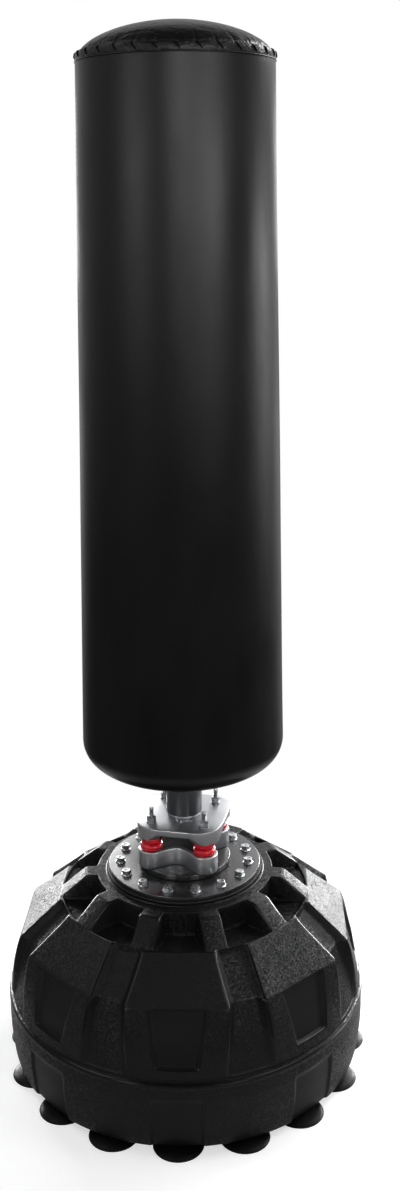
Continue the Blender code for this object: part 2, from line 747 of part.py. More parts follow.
def post(parent):
    down = (0, 0, -PIVOT_Z)
    inner = POST_R - POST_WALL
    spigot_r = inner - GAP
    seat = PLATE_TOP_Z + GAP
    shoulder = seat + SPIGOT_COLLAR_HEIGHT
    bore = spigot_r - SPIGOT_WALL
    bm = bmesh.new()
    turned(bm, [
        (bore, seat), (SPIGOT_COLLAR_R, seat), (SPIGOT_COLLAR_R, shoulder), (spigot_r, shoulder),
        (spigot_r, shoulder + SPIGOT_LENGTH), (bore, shoulder + SPIGOT_LENGTH),
    ], 24)
    place(bm, "spigot", "silver_painted_steel", parent, down)

    bm = bmesh.new()
    turned(bm, [(inner, POST_Z), (POST_R, POST_Z), (POST_R, POST_TOP_Z), (inner, POST_TOP_Z)], 24)
    place(bm, "post_tube", "grey_painted_steel", parent, down)

    bm = bmesh.new()
    plug_r = inner - GAP
    turned(bm, [
        (0, POST_TOP_Z - PLUG_DEPTH), (plug_r, POST_TOP_Z - PLUG_DEPTH), (plug_r, POST_TOP_Z + GAP),
        (POST_R, POST_TOP_Z + GAP), (POST_R, POST_TOP_Z + PLUG_CAP), (0, POST_TOP_Z + PLUG_CAP),
    ], 20)
    place(bm, "post_plug", "black_polyethylene", parent, down)


def dome_radius(inset, height):
    """Radius of the domed top at a height over the seam, moved inwards by inset."""
    share = height / (DOME_HEIGHT - inset)
    return (BAG_R - inset) * (1 - share ** 2) ** (1 / DOME_FULLNESS)


def dome(inset, seats=(), steps=7):
    """Section of the domed top, from the middle down to its edge, with a point at each seat's height."""
    heights = [(DOME_HEIGHT - inset) * math.cos(math.pi / 2 * i / steps) for i in range(1, steps)]
    heights = sorted([*heights, *seats], reverse=True)
    middle = (0, SEAM_Z + DOME_HEIGHT - inset)
    return [middle] + [(dome_radius(inset, height), SEAM_Z + height) for height in heights]


def bag(parent):
    down = (0, 0, -PIVOT_Z)
    hole_r = POST_R + COVER_HOLE_CLEARANCE

    def side(inset, bottom_r):
        """Section of the bag's side and bottom, down from the seam and in to bottom_r."""
        points = [(BAG_R - inset, SEAM_Z)]
        points += arc(BAG_R - BAG_CORNER_R, BAG_BOTTOM_Z + BAG_CORNER_R, BAG_CORNER_R - inset, 0, -90, 5)
        points.append((bottom_r, BAG_BOTTOM_Z + inset))
        return points

    bm = bmesh.new()
    turned(bm, side(0.0, hole_r) + side(COVER_WALL, hole_r)[::-1], BAG_SIDES)
    place(bm, "bag_cover", "black_coated_fabric", parent, down)

    foam_inset = COVER_WALL + GAP
    bm = bmesh.new()
    bore = POST_R + GAP
    roof = POST_TOP_Z + PLUG_CAP + GAP
    turned(bm, dome(foam_inset) + side(foam_inset, bore) + [(bore, roof), (0, roof)], BAG_SIDES)
    place(bm, "foam_core", "grey_foam", parent, down)

    edge = SEAM_Z + GAP
    bm = bmesh.new()
    rim = [(BAG_R, edge), (BAG_R - COVER_WALL, edge)]
    turned(bm, dome(0.0, (LACE_TOP, LACE_FOOT)) + rim + dome(COVER_WALL)[::-1], BAG_SIDES)
    place(bm, "top_cap", "black_coated_fabric", parent, down)

    bm = bmesh.new()
    turned(bm, arc(BAG_R + GAP + PIPING_R, SEAM_Z, PIPING_R, 0, 270, 3), BAG_SIDES)
    place(bm, "seam_piping", "black_coated_fabric", parent, down)

    bm = bmesh.new()
    lace(bm)
    place(bm, "lace", "black_coated_fabric", parent, down)


def lace(bm):
    """A cord round the foot of the dome that dips in a short slanting stitch at every hole."""
    pitch = 360 / LACE_HOLES
    rings = []
    for angle in evenly(LACE_HOLES):
        for turn, height in ((0, LACE_TOP), (LACE_LEAN * pitch, LACE_FOOT)):
            ring = []
            for j in range(4):
                part = math.tau * j / 4
                radius = dome_radius(0.0, height) + GAP + LACE_R * (LACE_OUT + math.cos(part))
                ring.append((*around(radius, angle + turn), SEAM_Z + height + LACE_R * math.sin(part)))
            rings.append(ring_of(bm, ring))
    skin(bm, rings, closed=True)


def empty(name, spot, parent=None):
    item = bpy.data.objects.new(name, None)
    bpy.context.scene.collection.objects.link(item)
    item.parent = parent
    item.location = spot
    return item


def main():
    clear_scene()
    base = empty("base", (0, 0, 0))
    rubber_pivot = empty("rubber_pivot", (0, 0, PIVOT_Z), base)
    bag_pivot = empty("bag_pivot", (0, 0, PIVOT_Z), base)
    base_tank(base)
    suction_cups(base)
    filler(base)
    flange(base)
    flange_bolts(base)
    spring_plates(base, bag_pivot)
    bushings_and_studs(rubber_pivot, bag_pivot)
    post(bag_pivot)
    bag(bag_pivot)


main()
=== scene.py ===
"""Looks of a free-standing punching bag on a water-filled base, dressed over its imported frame."""

import math

import bmesh
import bpy
import numpy as np
from mathutils import Matrix, Vector, noise


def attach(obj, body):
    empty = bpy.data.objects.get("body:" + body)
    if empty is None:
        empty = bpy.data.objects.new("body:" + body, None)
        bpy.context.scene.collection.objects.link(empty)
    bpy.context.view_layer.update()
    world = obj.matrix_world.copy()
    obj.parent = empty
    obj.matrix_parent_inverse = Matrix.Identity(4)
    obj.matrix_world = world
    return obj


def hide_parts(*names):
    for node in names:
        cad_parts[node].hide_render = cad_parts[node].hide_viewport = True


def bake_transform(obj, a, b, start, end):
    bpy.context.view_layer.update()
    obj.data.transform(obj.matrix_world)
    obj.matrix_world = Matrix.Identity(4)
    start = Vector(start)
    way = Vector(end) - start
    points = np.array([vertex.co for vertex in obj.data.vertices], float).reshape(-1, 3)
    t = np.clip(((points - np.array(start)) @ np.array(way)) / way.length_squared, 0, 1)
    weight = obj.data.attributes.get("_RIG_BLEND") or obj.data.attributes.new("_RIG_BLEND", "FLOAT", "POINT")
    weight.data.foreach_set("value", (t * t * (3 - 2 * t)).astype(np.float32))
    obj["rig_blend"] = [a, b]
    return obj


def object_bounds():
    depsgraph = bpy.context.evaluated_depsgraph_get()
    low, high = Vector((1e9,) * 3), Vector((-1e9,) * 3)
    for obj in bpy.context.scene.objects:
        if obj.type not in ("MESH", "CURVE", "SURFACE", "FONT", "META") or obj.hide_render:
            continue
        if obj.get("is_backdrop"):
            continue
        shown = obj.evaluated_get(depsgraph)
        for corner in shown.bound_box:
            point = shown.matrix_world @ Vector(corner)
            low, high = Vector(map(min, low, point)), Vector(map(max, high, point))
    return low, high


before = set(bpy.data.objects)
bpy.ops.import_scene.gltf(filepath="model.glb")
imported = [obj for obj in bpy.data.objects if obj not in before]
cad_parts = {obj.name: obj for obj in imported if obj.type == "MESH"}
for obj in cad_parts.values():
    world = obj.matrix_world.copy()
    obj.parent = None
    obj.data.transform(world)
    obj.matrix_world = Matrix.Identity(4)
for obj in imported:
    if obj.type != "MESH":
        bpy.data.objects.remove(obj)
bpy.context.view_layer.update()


# Studio: the bag stands on white paper in front of a white wall, in a room that is dim elsewhere.
# Soft lights in front are kept to the bag, the base or its edges, and others rake from behind.
def linear(colour):
    """Linear RGBA of an sRGB hex value such as "#1a1a1b"."""
    parts = [int(colour[i:i + 2], 16) / 255 for i in (1, 3, 5)]
    return (*(p / 12.92 if p <= 0.04045 else ((p + 0.055) / 1.055) ** 2.4 for p in parts), 1.0)


def add(tree, kind, inputs=None, **settings):
    """Adds a node and its settings. An input is a value, a socket, or a node's first output."""
    node = tree.nodes.new(kind)
    for name, value in settings.items():
        setattr(node, name, value)
    for name, value in (inputs or {}).items():
        if isinstance(value, bpy.types.Node):
            value = value.outputs[0]
        if isinstance(value, bpy.types.NodeSocket):
            tree.links.new(value, node.inputs[name])
        else:
            node.inputs[name].default_value = value
    return node


# Matt surfaces get a little even light from the world. Shiny ones mirror a white wall behind the
# object, greyer low down straight behind it, in a grey room that darkens at its floor and roof.
FILL_LEVEL = 0.15
world = bpy.data.worlds.new("photo_studio")
bpy.context.scene.world = world
world.use_nodes = True
tree = world.node_tree
tree.nodes.clear()
path = add(tree, "ShaderNodeLightPath")
aim = add(tree, "ShaderNodeSeparateXYZ", {0: add(tree, "ShaderNodeTexCoord").outputs["Generated"]})
aside = add(tree, "ShaderNodeMath", {0: aim.outputs["X"]}, operation="ABSOLUTE")
share = {}
for name, along, start, end, first, last in (
    ("wall", aim.outputs["Y"], 0.66, 0.84, 0.0, 1.0),
    ("high", aim.outputs["Z"], 0.05, 0.32, 0.30, 1.0),
    ("beside", aside, 0.26, 0.44, 0.0, 1.0),
    ("over_floor", aim.outputs["Z"], -0.38, -0.14, 0.0, 1.0),
    ("room", aim.outputs["Z"], -0.30, 0.0, 0.04, 0.50),
    ("roof", aim.outputs["Z"], 0.35, 0.70, 1.0, 0.15),
):
    share[name] = add(tree, "ShaderNodeMapRange", {0: along, 1: start, 2: end, 3: first, 4: last},
                      interpolation_type="SMOOTHSTEP")
beside = add(tree, "ShaderNodeMath", {
    0: share["beside"], 1: share["over_floor"]}, operation="MULTIPLY")
high = add(tree, "ShaderNodeMath", {0: share["high"], 1: beside}, operation="MAXIMUM")
wall = add(tree, "ShaderNodeMath", {0: share["wall"], 1: high}, operation="MULTIPLY")
room = add(tree, "ShaderNodeMath", {0: share["room"], 1: share["roof"]}, operation="MULTIPLY")
mirrored = add(tree, "ShaderNodeMath", {0: wall, 1: room}, operation="MAXIMUM")
shiny = add(tree, "ShaderNodeMath", {
    0: path.outputs["Is Glossy Ray"], 1: path.outputs["Is Transmission Ray"]}, operation="MAXIMUM")
level = add(tree, "ShaderNodeMix", {"Factor": shiny, "A": FILL_LEVEL, "B": mirrored})
level = add(tree, "ShaderNodeMath", {
    0: level, 1: path.outputs["Is Camera Ray"]}, operation="MAXIMUM")
white = add(tree, "ShaderNodeBackground", {"Color": linear("#ffffff"), "Strength": level})
add(tree, "ShaderNodeOutputWorld", {"Surface": white})

# Each lamp's place, the point it is aimed at, its two sides in metres, watts and spread in degrees.
for name, spot, aim, size, power, spread in (
    ("bag_light_right", (1.7, -1.95, 1.65), (0, 0, 1.35), (1.8, 0.8), 2.6, 44),
    ("bag_light_front", (0.4, -2.5, 1.75), (0, 0, 1.5), (1.2, 0.7), 1.4, 44),
    ("bag_light_left", (-1.7, -1.85, 1.65), (0, 0, 1.3), (2.4, 0.8), 1.6, 44),
    ("front_light_left", (-1.2, -2.0, 1.3), (0, 0, 0.15), (0.35, 0.35), 0.40, 30),
    ("front_light_right", (1.2, -2.0, 1.3), (0, 0, 0.15), (0.35, 0.35), 0.36, 30),
    ("back_light_left", (-0.75, 2.4, 1.45), (0, 0, 0.3), (0.8, 0.7), 3.0, 90),
    ("back_light_right", (0.75, 2.4, 1.45), (0, 0, 0.3), (0.8, 0.7), 2.0, 90),
    ("top_light_right", (1.5, 1.3, 2.4), (0, 0, 0.6), (0.9, 0.7), 30, 180),
    ("over_light_left", (-1.5, -0.2, 2.6), (0, 0, 0.3), (0.9, 0.9), 1.5, 60),
    ("over_light_right", (1.5, -0.2, 2.6), (0, 0, 0.3), (0.9, 0.9), 1.8, 60),
    ("base_light_left", (-1.35, 2.3, 0.45), (0, 0, 0.0), (1.2, 0.7), 4.2, 34),
    ("base_light_right", (1.35, 2.3, 0.45), (0, 0, 0.0), (1.2, 0.7), 5.2, 34),
    ("side_light_right", (2.3, 0.9, 1.0), (0, 0, 0.25), (1.2, 1.0), 5.0, 60),
):
    lamp = bpy.data.lights.new(name, "AREA")
    lamp.shape = "RECTANGLE"
    lamp.size, lamp.size_y = size
    lamp.energy = power
    lamp.spread = math.radians(spread)
    stand = bpy.data.objects.new(name, lamp)
    bpy.context.scene.collection.objects.link(stand)
    stand.location = spot
    stand.rotation_euler = (Vector(aim) - Vector(spot)).to_track_quat("-Z", "Y").to_euler()

# White paper: the camera sees it plain white but for the object's shadow, mirrors see little of it,
# and it fades out into the white beyond. The fade's two radii are in metres.
PAPER_FADE, PAPER_GLOW, PAPER_MIRRORED = (0.42, 0.95), 0.55, 0.1
paper = bpy.data.materials.new("white_paper")
paper.use_nodes = True
tree = paper.node_tree
tree.nodes.clear()
place = add(tree, "ShaderNodeTexCoord").outputs["Object"]
far = add(tree, "ShaderNodeVectorMath", {0: place}, operation="LENGTH").outputs["Value"]
fade = add(tree, "ShaderNodeMapRange", {0: far, 1: PAPER_FADE[0], 2: PAPER_FADE[1]},
           interpolation_type="SMOOTHERSTEP")
path = add(tree, "ShaderNodeLightPath")
mirrors = add(tree, "ShaderNodeMath", {
    0: path.outputs["Is Glossy Ray"], 1: path.outputs["Is Transmission Ray"]}, operation="MAXIMUM")
mirrors = add(tree, "ShaderNodeMath", {0: mirrors, 1: PAPER_MIRRORED}, operation="MULTIPLY")
seen = add(tree, "ShaderNodeMath", {
    0: path.outputs["Is Camera Ray"], 1: PAPER_GLOW, 2: mirrors}, operation="MULTIPLY_ADD")
sheet = add(tree, "ShaderNodeAddShader", {
    0: add(tree, "ShaderNodeBsdfDiffuse", {"Color": linear("#d6d6d6")}),
    1: add(tree, "ShaderNodeEmission", {"Strength": seen})})
faded = add(tree, "ShaderNodeMixShader", {
    0: fade, 1: sheet, 2: add(tree, "ShaderNodeBsdfTransparent")})
add(tree, "ShaderNodeOutputMaterial", {"Surface": faded})
bm = bmesh.new()
bmesh.ops.create_circle(bm, cap_ends=True, segments=96, radius=1.0)
mesh = bpy.data.meshes.new("studio_floor")
bm.to_mesh(mesh)
bm.free()
mesh.materials.append(paper)
floor = bpy.data.objects.new("studio_floor", mesh)
bpy.context.scene.collection.objects.link(floor)
floor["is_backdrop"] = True

# Camera: level with the upper part of the bag and 2.2 m in front of it, turned 3 degrees to the
# side, with the lens shifted down as the photograph was framed. Its focal length is in pixels of
# the frame, and the axis row is the row that the lens's axis meets.
CAMERA_DISTANCE, CAMERA_HEIGHT = 2.195, 1.391
CAMERA_TURN, YAW, PITCH, ROLL = (math.radians(a) for a in (3.1, -2.113, -0.80, -0.655))
FRAME_HEIGHT, FOCAL_LENGTH, AXIS_ROW = 1191, 1320, 225
camera = bpy.data.cameras.new("camera")
camera.sensor_width = 36
camera.lens = FOCAL_LENGTH * camera.sensor_width / FRAME_HEIGHT
camera.shift_y = -(FRAME_HEIGHT / 2 - AXIS_ROW) / FRAME_HEIGHT
forward = Vector((
    math.sin(YAW) * math.cos(PITCH), math.cos(YAW) * math.cos(PITCH), math.sin(PITCH)))
right = Vector((math.cos(YAW), -math.sin(YAW), 0))
up = right.cross(forward)
rolled = (right * math.cos(ROLL) + up * math.sin(ROLL),
          up * math.cos(ROLL) - right * math.sin(ROLL), -forward)
eye = bpy.data.objects.new("camera", camera)
bpy.context.scene.collection.objects.link(eye)
eye.matrix_world = Matrix.Translation((
    CAMERA_DISTANCE * math.sin(CAMERA_TURN),
    -CAMERA_DISTANCE * math.cos(CAMERA_TURN), CAMERA_HEIGHT,
)) @ Matrix(rolled).transposed().to_4x4()
bpy.context.scene.camera = eye
bpy.context.scene.view_settings.view_transform = "Standard"


# Base tank: a hollow shell of black polyethylene, blow-moulded in one piece, with a pebbled skin
# and smooth recesses. Eight flat-faced lobes stand between channels over a bead and a skirt.
def material_of(name, coords="Object", **sockets):
    """A new material, its node tree, its shader with these sockets set, and its coordinates."""
    material = bpy.data.materials.new(name)
    material.use_nodes = True
    tree = material.node_tree
    shader = tree.nodes["Principled BSDF"]
    for socket, value in sockets.items():
        shader.inputs[socket.replace("_", " ")].default_value = value
    return material, tree, shader, add(tree, "ShaderNodeTexCoord").outputs[coords]


def wire(tree, shader, **nodes):
    """Links the first output of each node to the socket of the shader that it is passed as."""
    for socket, node in nodes.items():
        tree.links.new(node.outputs[0], shader.inputs[socket])


# Pebbled polyethylene: dark, waxy and a little glossy. Each grain of its skin is a facet that leans
# its own way. The real grain is about 1 mm; it is drawn at 2 mm so that it shows in the render. The
# recesses have none, and the moulding's corners are smoother and catch the light.
GRAIN_LEAN, CREST_ROUGHNESS = 0.44, 0.24
polyethylene, tree, shader, place = material_of(
    "pebbled_polyethylene", Base_Color=linear("#0c0c0d"), Roughness=0.44,
    Specular_IOR_Level=0.16, IOR=1.5)
skin = add(tree, "ShaderNodeAttribute", attribute_name="grain").outputs["Fac"]
flow = add(tree, "ShaderNodeTexNoise", {"Vector": place, "Scale": 14.0, "Detail": 3.0})
satin = add(tree, "ShaderNodeMapRange", {0: flow.outputs["Fac"], 1: 0.3, 2: 0.7, 3: 0.40, 4: 0.50})
waves = add(tree, "ShaderNodeBump", {
    "Strength": 0.25, "Distance": 0.004, "Height": flow.outputs["Fac"]})
grains = add(tree, "ShaderNodeTexVoronoi", {
    "Vector": place, "Scale": 520.0}, feature="F1").outputs["Color"]
lean = add(tree, "ShaderNodeVectorMath", {0: grains, 1: (0.5, 0.5, 0.5)}, operation="SUBTRACT")
amount = add(tree, "ShaderNodeMath", {0: skin, 1: GRAIN_LEAN}, operation="MULTIPLY")
lean = add(tree, "ShaderNodeVectorMath", {0: lean, "Scale": amount}, operation="SCALE")
facing = add(tree, "ShaderNodeVectorMath", {0: waves, 1: lean}, operation="ADD")
facing = add(tree, "ShaderNodeVectorMath", {0: facing}, operation="NORMALIZE")
crest = add(tree, "ShaderNodeAttribute", attribute_name="crest").outputs["Fac"]
polished = add(tree, "ShaderNodeMix", {
    "Factor": crest, "A": satin.outputs[0], "B": CREST_ROUGHNESS})
wire(tree, shader, Roughness=polished, Normal=facing)

# Heights, radii and depths in metres, and half widths round the axis in degrees. The panels' and
# recesses' half widths are given at three heights each.
LOBES = 8
FOOT_Z, FOOT_R, BELLY_Z, BELLY_R = 0.012, 0.2802, 0.085, 0.2912
PANEL_FOOT_Z, PANEL_FOOT_R, BEND_Z, BEND_R = 0.1175, 0.2895, 0.2085, 0.2655
LEDGE_Z, LEDGE_R, CONE_Z, CONE_R, NECK_Z, NECK_R = 0.258, 0.204, 0.288, 0.165, 0.290, 0.132
CHANNEL_DEPTH, CHANNEL_END, CHANNEL_WALL_DEG, PANEL_DEG = 0.0095, 0.009, 1.6, (14.8, 16.6, 15.2)
POCKET_LOW_Z, POCKET_HIGH_Z, POCKET_DEPTH, POCKET_WALL_DEG = 0.130, 0.206, 0.0065, 0.9
FLUTE_TOP_Z, FLUTE_DEPTH, RECESS_DEG = 0.089, 0.0035, (8.2, 6.4, 9.8)


def ramp(t, soft=0.14):
    """0 below 0 and 1 above 1, straight between, with both corners rounded."""
    def above(x):
        return 0.5 * (x + np.sqrt(x * x + soft * soft))
    return above(t) - above(t - 1.0)


def spread(values, sigma):
    """A row of evenly spaced values, smoothed over sigma steps, with its ends kept."""
    reach = int(4 * sigma) + 1
    weights = np.exp(-0.5 * (np.arange(-reach, reach + 1) / sigma) ** 2)
    before = 2 * values[0] - values[reach:0:-1]
    after = 2 * values[-1] - values[-2:-reach - 2:-1]
    return np.convolve(np.concatenate([before, values, after]), weights / weights.sum(), "valid")


# The section at the middle of a lobe, every 0.1 mm up: first its main curve, smoothed over 2 mm,
# then the turned-in foot, the bead and the groove over it, smoothed over 0.5 mm.
fine_z = np.arange(FOOT_Z, LEDGE_Z + 1e-9, 0.0001)
rise = PANEL_FOOT_Z + 0.45 * (BEND_Z - PANEL_FOOT_Z)
swell = BELLY_R - FOOT_R
lobe_r = spread(np.interp(fine_z, [
    FOOT_Z, 0.0266, 0.0587, BELLY_Z, PANEL_FOOT_Z, rise, BEND_Z, LEDGE_Z,
], [
    FOOT_R, FOOT_R + 0.42 * swell, FOOT_R + 0.85 * swell, BELLY_R, PANEL_FOOT_R,
    PANEL_FOOT_R - 0.33 * (PANEL_FOOT_R - BEND_R), BEND_R, LEDGE_R,
]), 20)
lobe_r += spread(np.interp(fine_z, [
    FOOT_Z, 0.0135, 0.1035, 0.1055, 0.1095, 0.1115, 0.1121, 0.1165, 0.1175, LEDGE_Z,
], [-0.005, 0, 0, 0.0022, 0.0022, 0, -0.003, -0.003, 0, 0]), 5)

# Rows up the side, closer together where the section turns.
rows_z = np.concatenate([
    [0.012, 0.0122, 0.0125, 0.013, 0.0136, 0.0144, 0.016], np.linspace(0.020, 0.079, 13),
    np.linspace(0.0805, 0.0915, 11), [0.095, 0.099, 0.102], np.linspace(0.1030, 0.1190, 30),
    np.linspace(0.1210, 0.1280, 4), np.linspace(0.1288, 0.1340, 8), np.linspace(0.139, 0.198, 10),
    np.linspace(0.2015, 0.2125, 14), np.linspace(0.216, 0.245, 8), np.linspace(0.2475, 0.258, 13),
])


def stations(counts, ends):
    """So many columns between each two knots, as (knot, share), closer together at a dense end."""
    out = []
    for k, (count, dense) in enumerate(zip(counts, ends)):
        for j in range(count):
            t = j / count
            share = {"both": (1 - math.cos(math.pi * t)) / 2, "last": math.sin(math.pi / 2 * t),
                     "first": 1 - math.cos(math.pi / 2 * t), "even": t}[dense]
            out.append((k, share))
    return out + [(len(counts) - 1, 1.0)]


half_lobe = stations((5, 9, 4, 13, 4), ("last", "even", "even", "even", "first"))
tank_points, grain, rows = [], [], []
for z in rows_z:
    radius = np.interp(z, fine_z, lobe_r)
    panel = np.interp(z, [PANEL_FOOT_Z, BEND_Z, LEDGE_Z], PANEL_DEG)
    recess = np.interp(z, [FLUTE_TOP_Z, POCKET_LOW_Z, POCKET_HIGH_Z], RECESS_DEG)
    flat = np.interp(z, [PANEL_FOOT_Z, POCKET_LOW_Z + 0.75 * (BEND_Z - POCKET_LOW_Z), LEDGE_Z],
                     [0, 1, 1])
    deep = np.interp(z, [PANEL_FOOT_Z, BEND_Z, LEDGE_Z - CHANNEL_END, LEDGE_Z],
                     [0.5 * CHANNEL_DEPTH, 0.75 * CHANNEL_DEPTH, CHANNEL_DEPTH, 0.0])
    knots = [0, recess - POCKET_WALL_DEG - 0.5, recess + 0.5,
             panel - 1.2, panel + CHANNEL_WALL_DEG + 1.2, 180 / LOBES]
    turns = np.array([knots[k] + s * (knots[k + 1] - knots[k]) for k, s in half_lobe])
    turns = np.concatenate([-turns[:0:-1], turns[:-1]])
    away = np.abs(turns)
    face = radius * (1 + flat * (1 / np.cos(np.radians(turns)) - 1))
    channel = (ramp((away - panel) / CHANNEL_WALL_DEG, 0.32)
               * ramp((z - PANEL_FOOT_Z + 0.001) / 0.0015))
    pocket = (ramp((recess - away) / POCKET_WALL_DEG, 0.28) * ramp((z - POCKET_LOW_Z) / 0.0022)
              * ramp((POCKET_HIGH_Z - z) / 0.0022))
    flute = ramp((recess - away) / POCKET_WALL_DEG) * ramp((FLUTE_TOP_Z - z) / 0.007)
    r = (face * (1 - channel) + (radius - deep) * channel
         - POCKET_DEPTH * pocket - FLUTE_DEPTH * flute)
    row = []
    for lobe in range(LOBES):
        turn = np.radians(turns + 360 / LOBES * lobe)
        for x, y, g in zip(r * np.sin(turn), -r * np.cos(turn), 1 - np.maximum(pocket, flute)):
            row.append(len(tank_points))
            tank_points.append((x, y, z))
            grain.append(g)
    rows.append(row)

# The shoulder inside the ledge: a cone cut by pockets between ten radial ribs, up to the neck. Its
# rings are closer together at the pockets' mouths and backs and at the neck.
RIB_DEG, RIB_HALF, RIB_WALL = 33.3, 0.017, 0.0035
POCKET_FLOOR_Z, POCKET_BACK_R, POCKET_MOUTH_R = 0.252, 0.147, 0.2035
RIBS = [RIB_DEG * (i + 0.5) for i in range(5)]
RIBS += [360 - a for a in reversed(RIBS)]
rings_r = [
    0.2038, 0.2036, 0.2034, 0.2031, 0.2027, 0.2023, 0.2019, 0.2015, 0.2011, 0.2005, 0.199, 0.195,
    0.189, 0.182, 0.175, 0.170, 0.1675, 0.1662, 0.1655, 0.165, 0.1645, 0.1638, 0.162, 0.157, 0.152,
    0.1495, 0.1485, 0.1478, 0.1474, 0.1471, 0.1468, 0.1465, 0.1462, 0.1459, 0.1455, 0.1448, 0.1435,
    0.139, 0.135, 0.1333, 0.1327, 0.1323, 0.1320, 0.1317, 0.1312, 0.1304, 0.129,
]
half_sector = stations((5, 6, 8), ("last", "even", "first"))
inner_rows = []
for radius in rings_r:
    turns = []
    for rib, following in zip(RIBS, RIBS[1:] + [RIBS[0] + 360]):
        middle = (following - rib) / 2
        foot = math.degrees(math.asin(RIB_HALF / radius))
        wall = math.degrees(math.asin((RIB_HALF + RIB_WALL) / radius))
        knots = [0, foot, wall, middle]
        half = np.array([knots[k] + s * (knots[k + 1] - knots[k]) for k, s in half_sector])
        turns += list(rib + half[:-1]) + list(following - half[:0:-1])
    turns = np.radians(np.array(turns))
    away = [np.abs((turns - math.radians(a) + np.pi) % math.tau - np.pi) for a in RIBS]
    beside = np.min([radius * np.sin(np.clip(a, 0, 1.5)) for a in away], axis=0) - RIB_HALF
    cone = LEDGE_Z + (LEDGE_R - max(radius, CONE_R)) * (CONE_Z - LEDGE_Z) / (LEDGE_R - CONE_R)
    cone -= 0.0009 * math.exp(-((radius - CONE_R) / 0.0012) ** 2)
    cone += (NECK_Z - CONE_Z) * float(ramp(np.array((NECK_R - radius) / 0.0008)))
    inside = (ramp(beside / RIB_WALL) * ramp(np.array((radius - POCKET_BACK_R + 0.0008) / 0.0014))
              * ramp(np.array((POCKET_MOUTH_R - radius) / 0.0036), 0.3))
    heights = cone - (cone - POCKET_FLOOR_Z) * inside
    row = []
    for turn, z in zip(turns, heights):
        row.append(len(tank_points))
        tank_points.append((radius * math.sin(turn), -radius * math.cos(turn), z))
        grain.append(1.0)
    inner_rows.append(row)


def ring_faces(rings):
    """Quads between closed rings of equal length."""
    return [(a[i], a[(i + 1) % len(a)], b[(i + 1) % len(a)], b[i])
            for a, b in zip(rings, rings[1:]) for i in range(len(a))]


def bridge(points, a, b):
    """Triangles between two closed rings of unlike length, in step with their angles."""
    def turn(i):
        return math.atan2(points[i][0], -points[i][1]) % math.tau
    a = sorted(a, key=turn)
    b = sorted(b, key=turn)
    faces, i, j = [], 0, 0
    while i < len(a) or j < len(b):
        ahead = turn(a[(i + 1) % len(a)]) + (math.tau if i + 1 >= len(a) else 0)
        other = turn(b[(j + 1) % len(b)]) + (math.tau if j + 1 >= len(b) else 0)
        if j >= len(b) or (i < len(a) and ahead <= other):
            faces.append((a[i % len(a)], a[(i + 1) % len(a)], b[j % len(b)]))
            i += 1
        else:
            faces.append((a[i % len(a)], b[(j + 1) % len(b)], b[j % len(b)]))
            j += 1
    return faces


def closed_ring(radius, z, like):
    """A ring at the same angles as another, added to the tank's points."""
    row = []
    for i in like:
        x, y, _ = tank_points[i]
        reach = math.hypot(x, y)
        row.append(len(tank_points))
        tank_points.append((x * radius / reach, y * radius / reach, z))
        grain.append(0.0)
    return row


underside = [closed_ring(r, FOOT_Z, rows[0]) for r in (0.266, 0.20, 0.10)]
crown = [closed_ring(r, NECK_Z, inner_rows[0]) for r in (0.11, 0.075)]
faces = ring_faces(underside[::-1] + rows) + ring_faces(inner_rows + crown)
faces += bridge(tank_points, rows[-1], inner_rows[0]) + [tuple(underside[-1]), tuple(crown[-1])]
mesh = bpy.data.meshes.new("tank_shell")
mesh.from_pydata(tank_points, [], faces)
mesh.attributes.new("grain", "FLOAT", "POINT").data.foreach_set(
    "value", np.array(grain, np.float32))

# The filler bore goes through the floor of the wide rear pocket. Its wall is made edge by edge, so
# that the mesh is the same on each run.
FILLER_Y, BORE_R, BORE_DEPTH = 0.176, 0.0182, 0.009
bm = bmesh.new()
bm.from_mesh(mesh)
centre = Vector((0, FILLER_Y, POCKET_FLOOR_Z))
gone = [f for f in bm.faces if abs(f.calc_center_median().z - POCKET_FLOOR_Z) < 0.004
        and (f.calc_center_median().xy - centre.xy).length < BORE_R + 0.0012]
bmesh.ops.delete(bm, geom=gone, context="FACES")
foot = {}
for loop in [e.link_loops[0] for e in bm.edges if e.is_boundary]:
    a, b = loop.link_loop_next.vert, loop.vert
    for v in (a, b):
        if v not in foot:
            v.co = centre + (v.co.xy - centre.xy).normalized().to_3d() * BORE_R
            foot[v] = bm.verts.new(v.co - Vector((0, 0, BORE_DEPTH)), v)
    bm.faces.new((a, b, foot[b], foot[a]))
bmesh.ops.recalc_face_normals(bm, faces=bm.faces)

# Convex corners come out of the mould smooth and shinier. Their share goes from 0 to 1 between
# these two curvatures, in radians to the metre.
CREST_SOFT, CREST_SHARP = 50.0, 150.0
smooth_skin, turned = bm.verts.layers.float["grain"], bm.verts.layers.float.new("crest")
for edge in bm.edges:
    if len(edge.link_faces) == 2:
        a, b = (f.calc_center_median() for f in edge.link_faces)
        bend = edge.calc_face_angle_signed(0.0) / max((a - b).length, 1e-4)
        amount = min(max((bend - CREST_SOFT) / (CREST_SHARP - CREST_SOFT), 0.0), 1.0)
        for v in edge.verts:
            v[turned] = max(v[turned], amount)
for v in bm.verts:
    v[smooth_skin] *= 1.0 - v[turned]
bm.to_mesh(mesh)
bm.free()
mesh.shade_smooth()
mesh.materials.append(polyethylene)
tank = bpy.data.objects.new("tank_shell", mesh)
bpy.context.scene.collection.objects.link(tank)
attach(tank, "base")
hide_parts("base_tank")


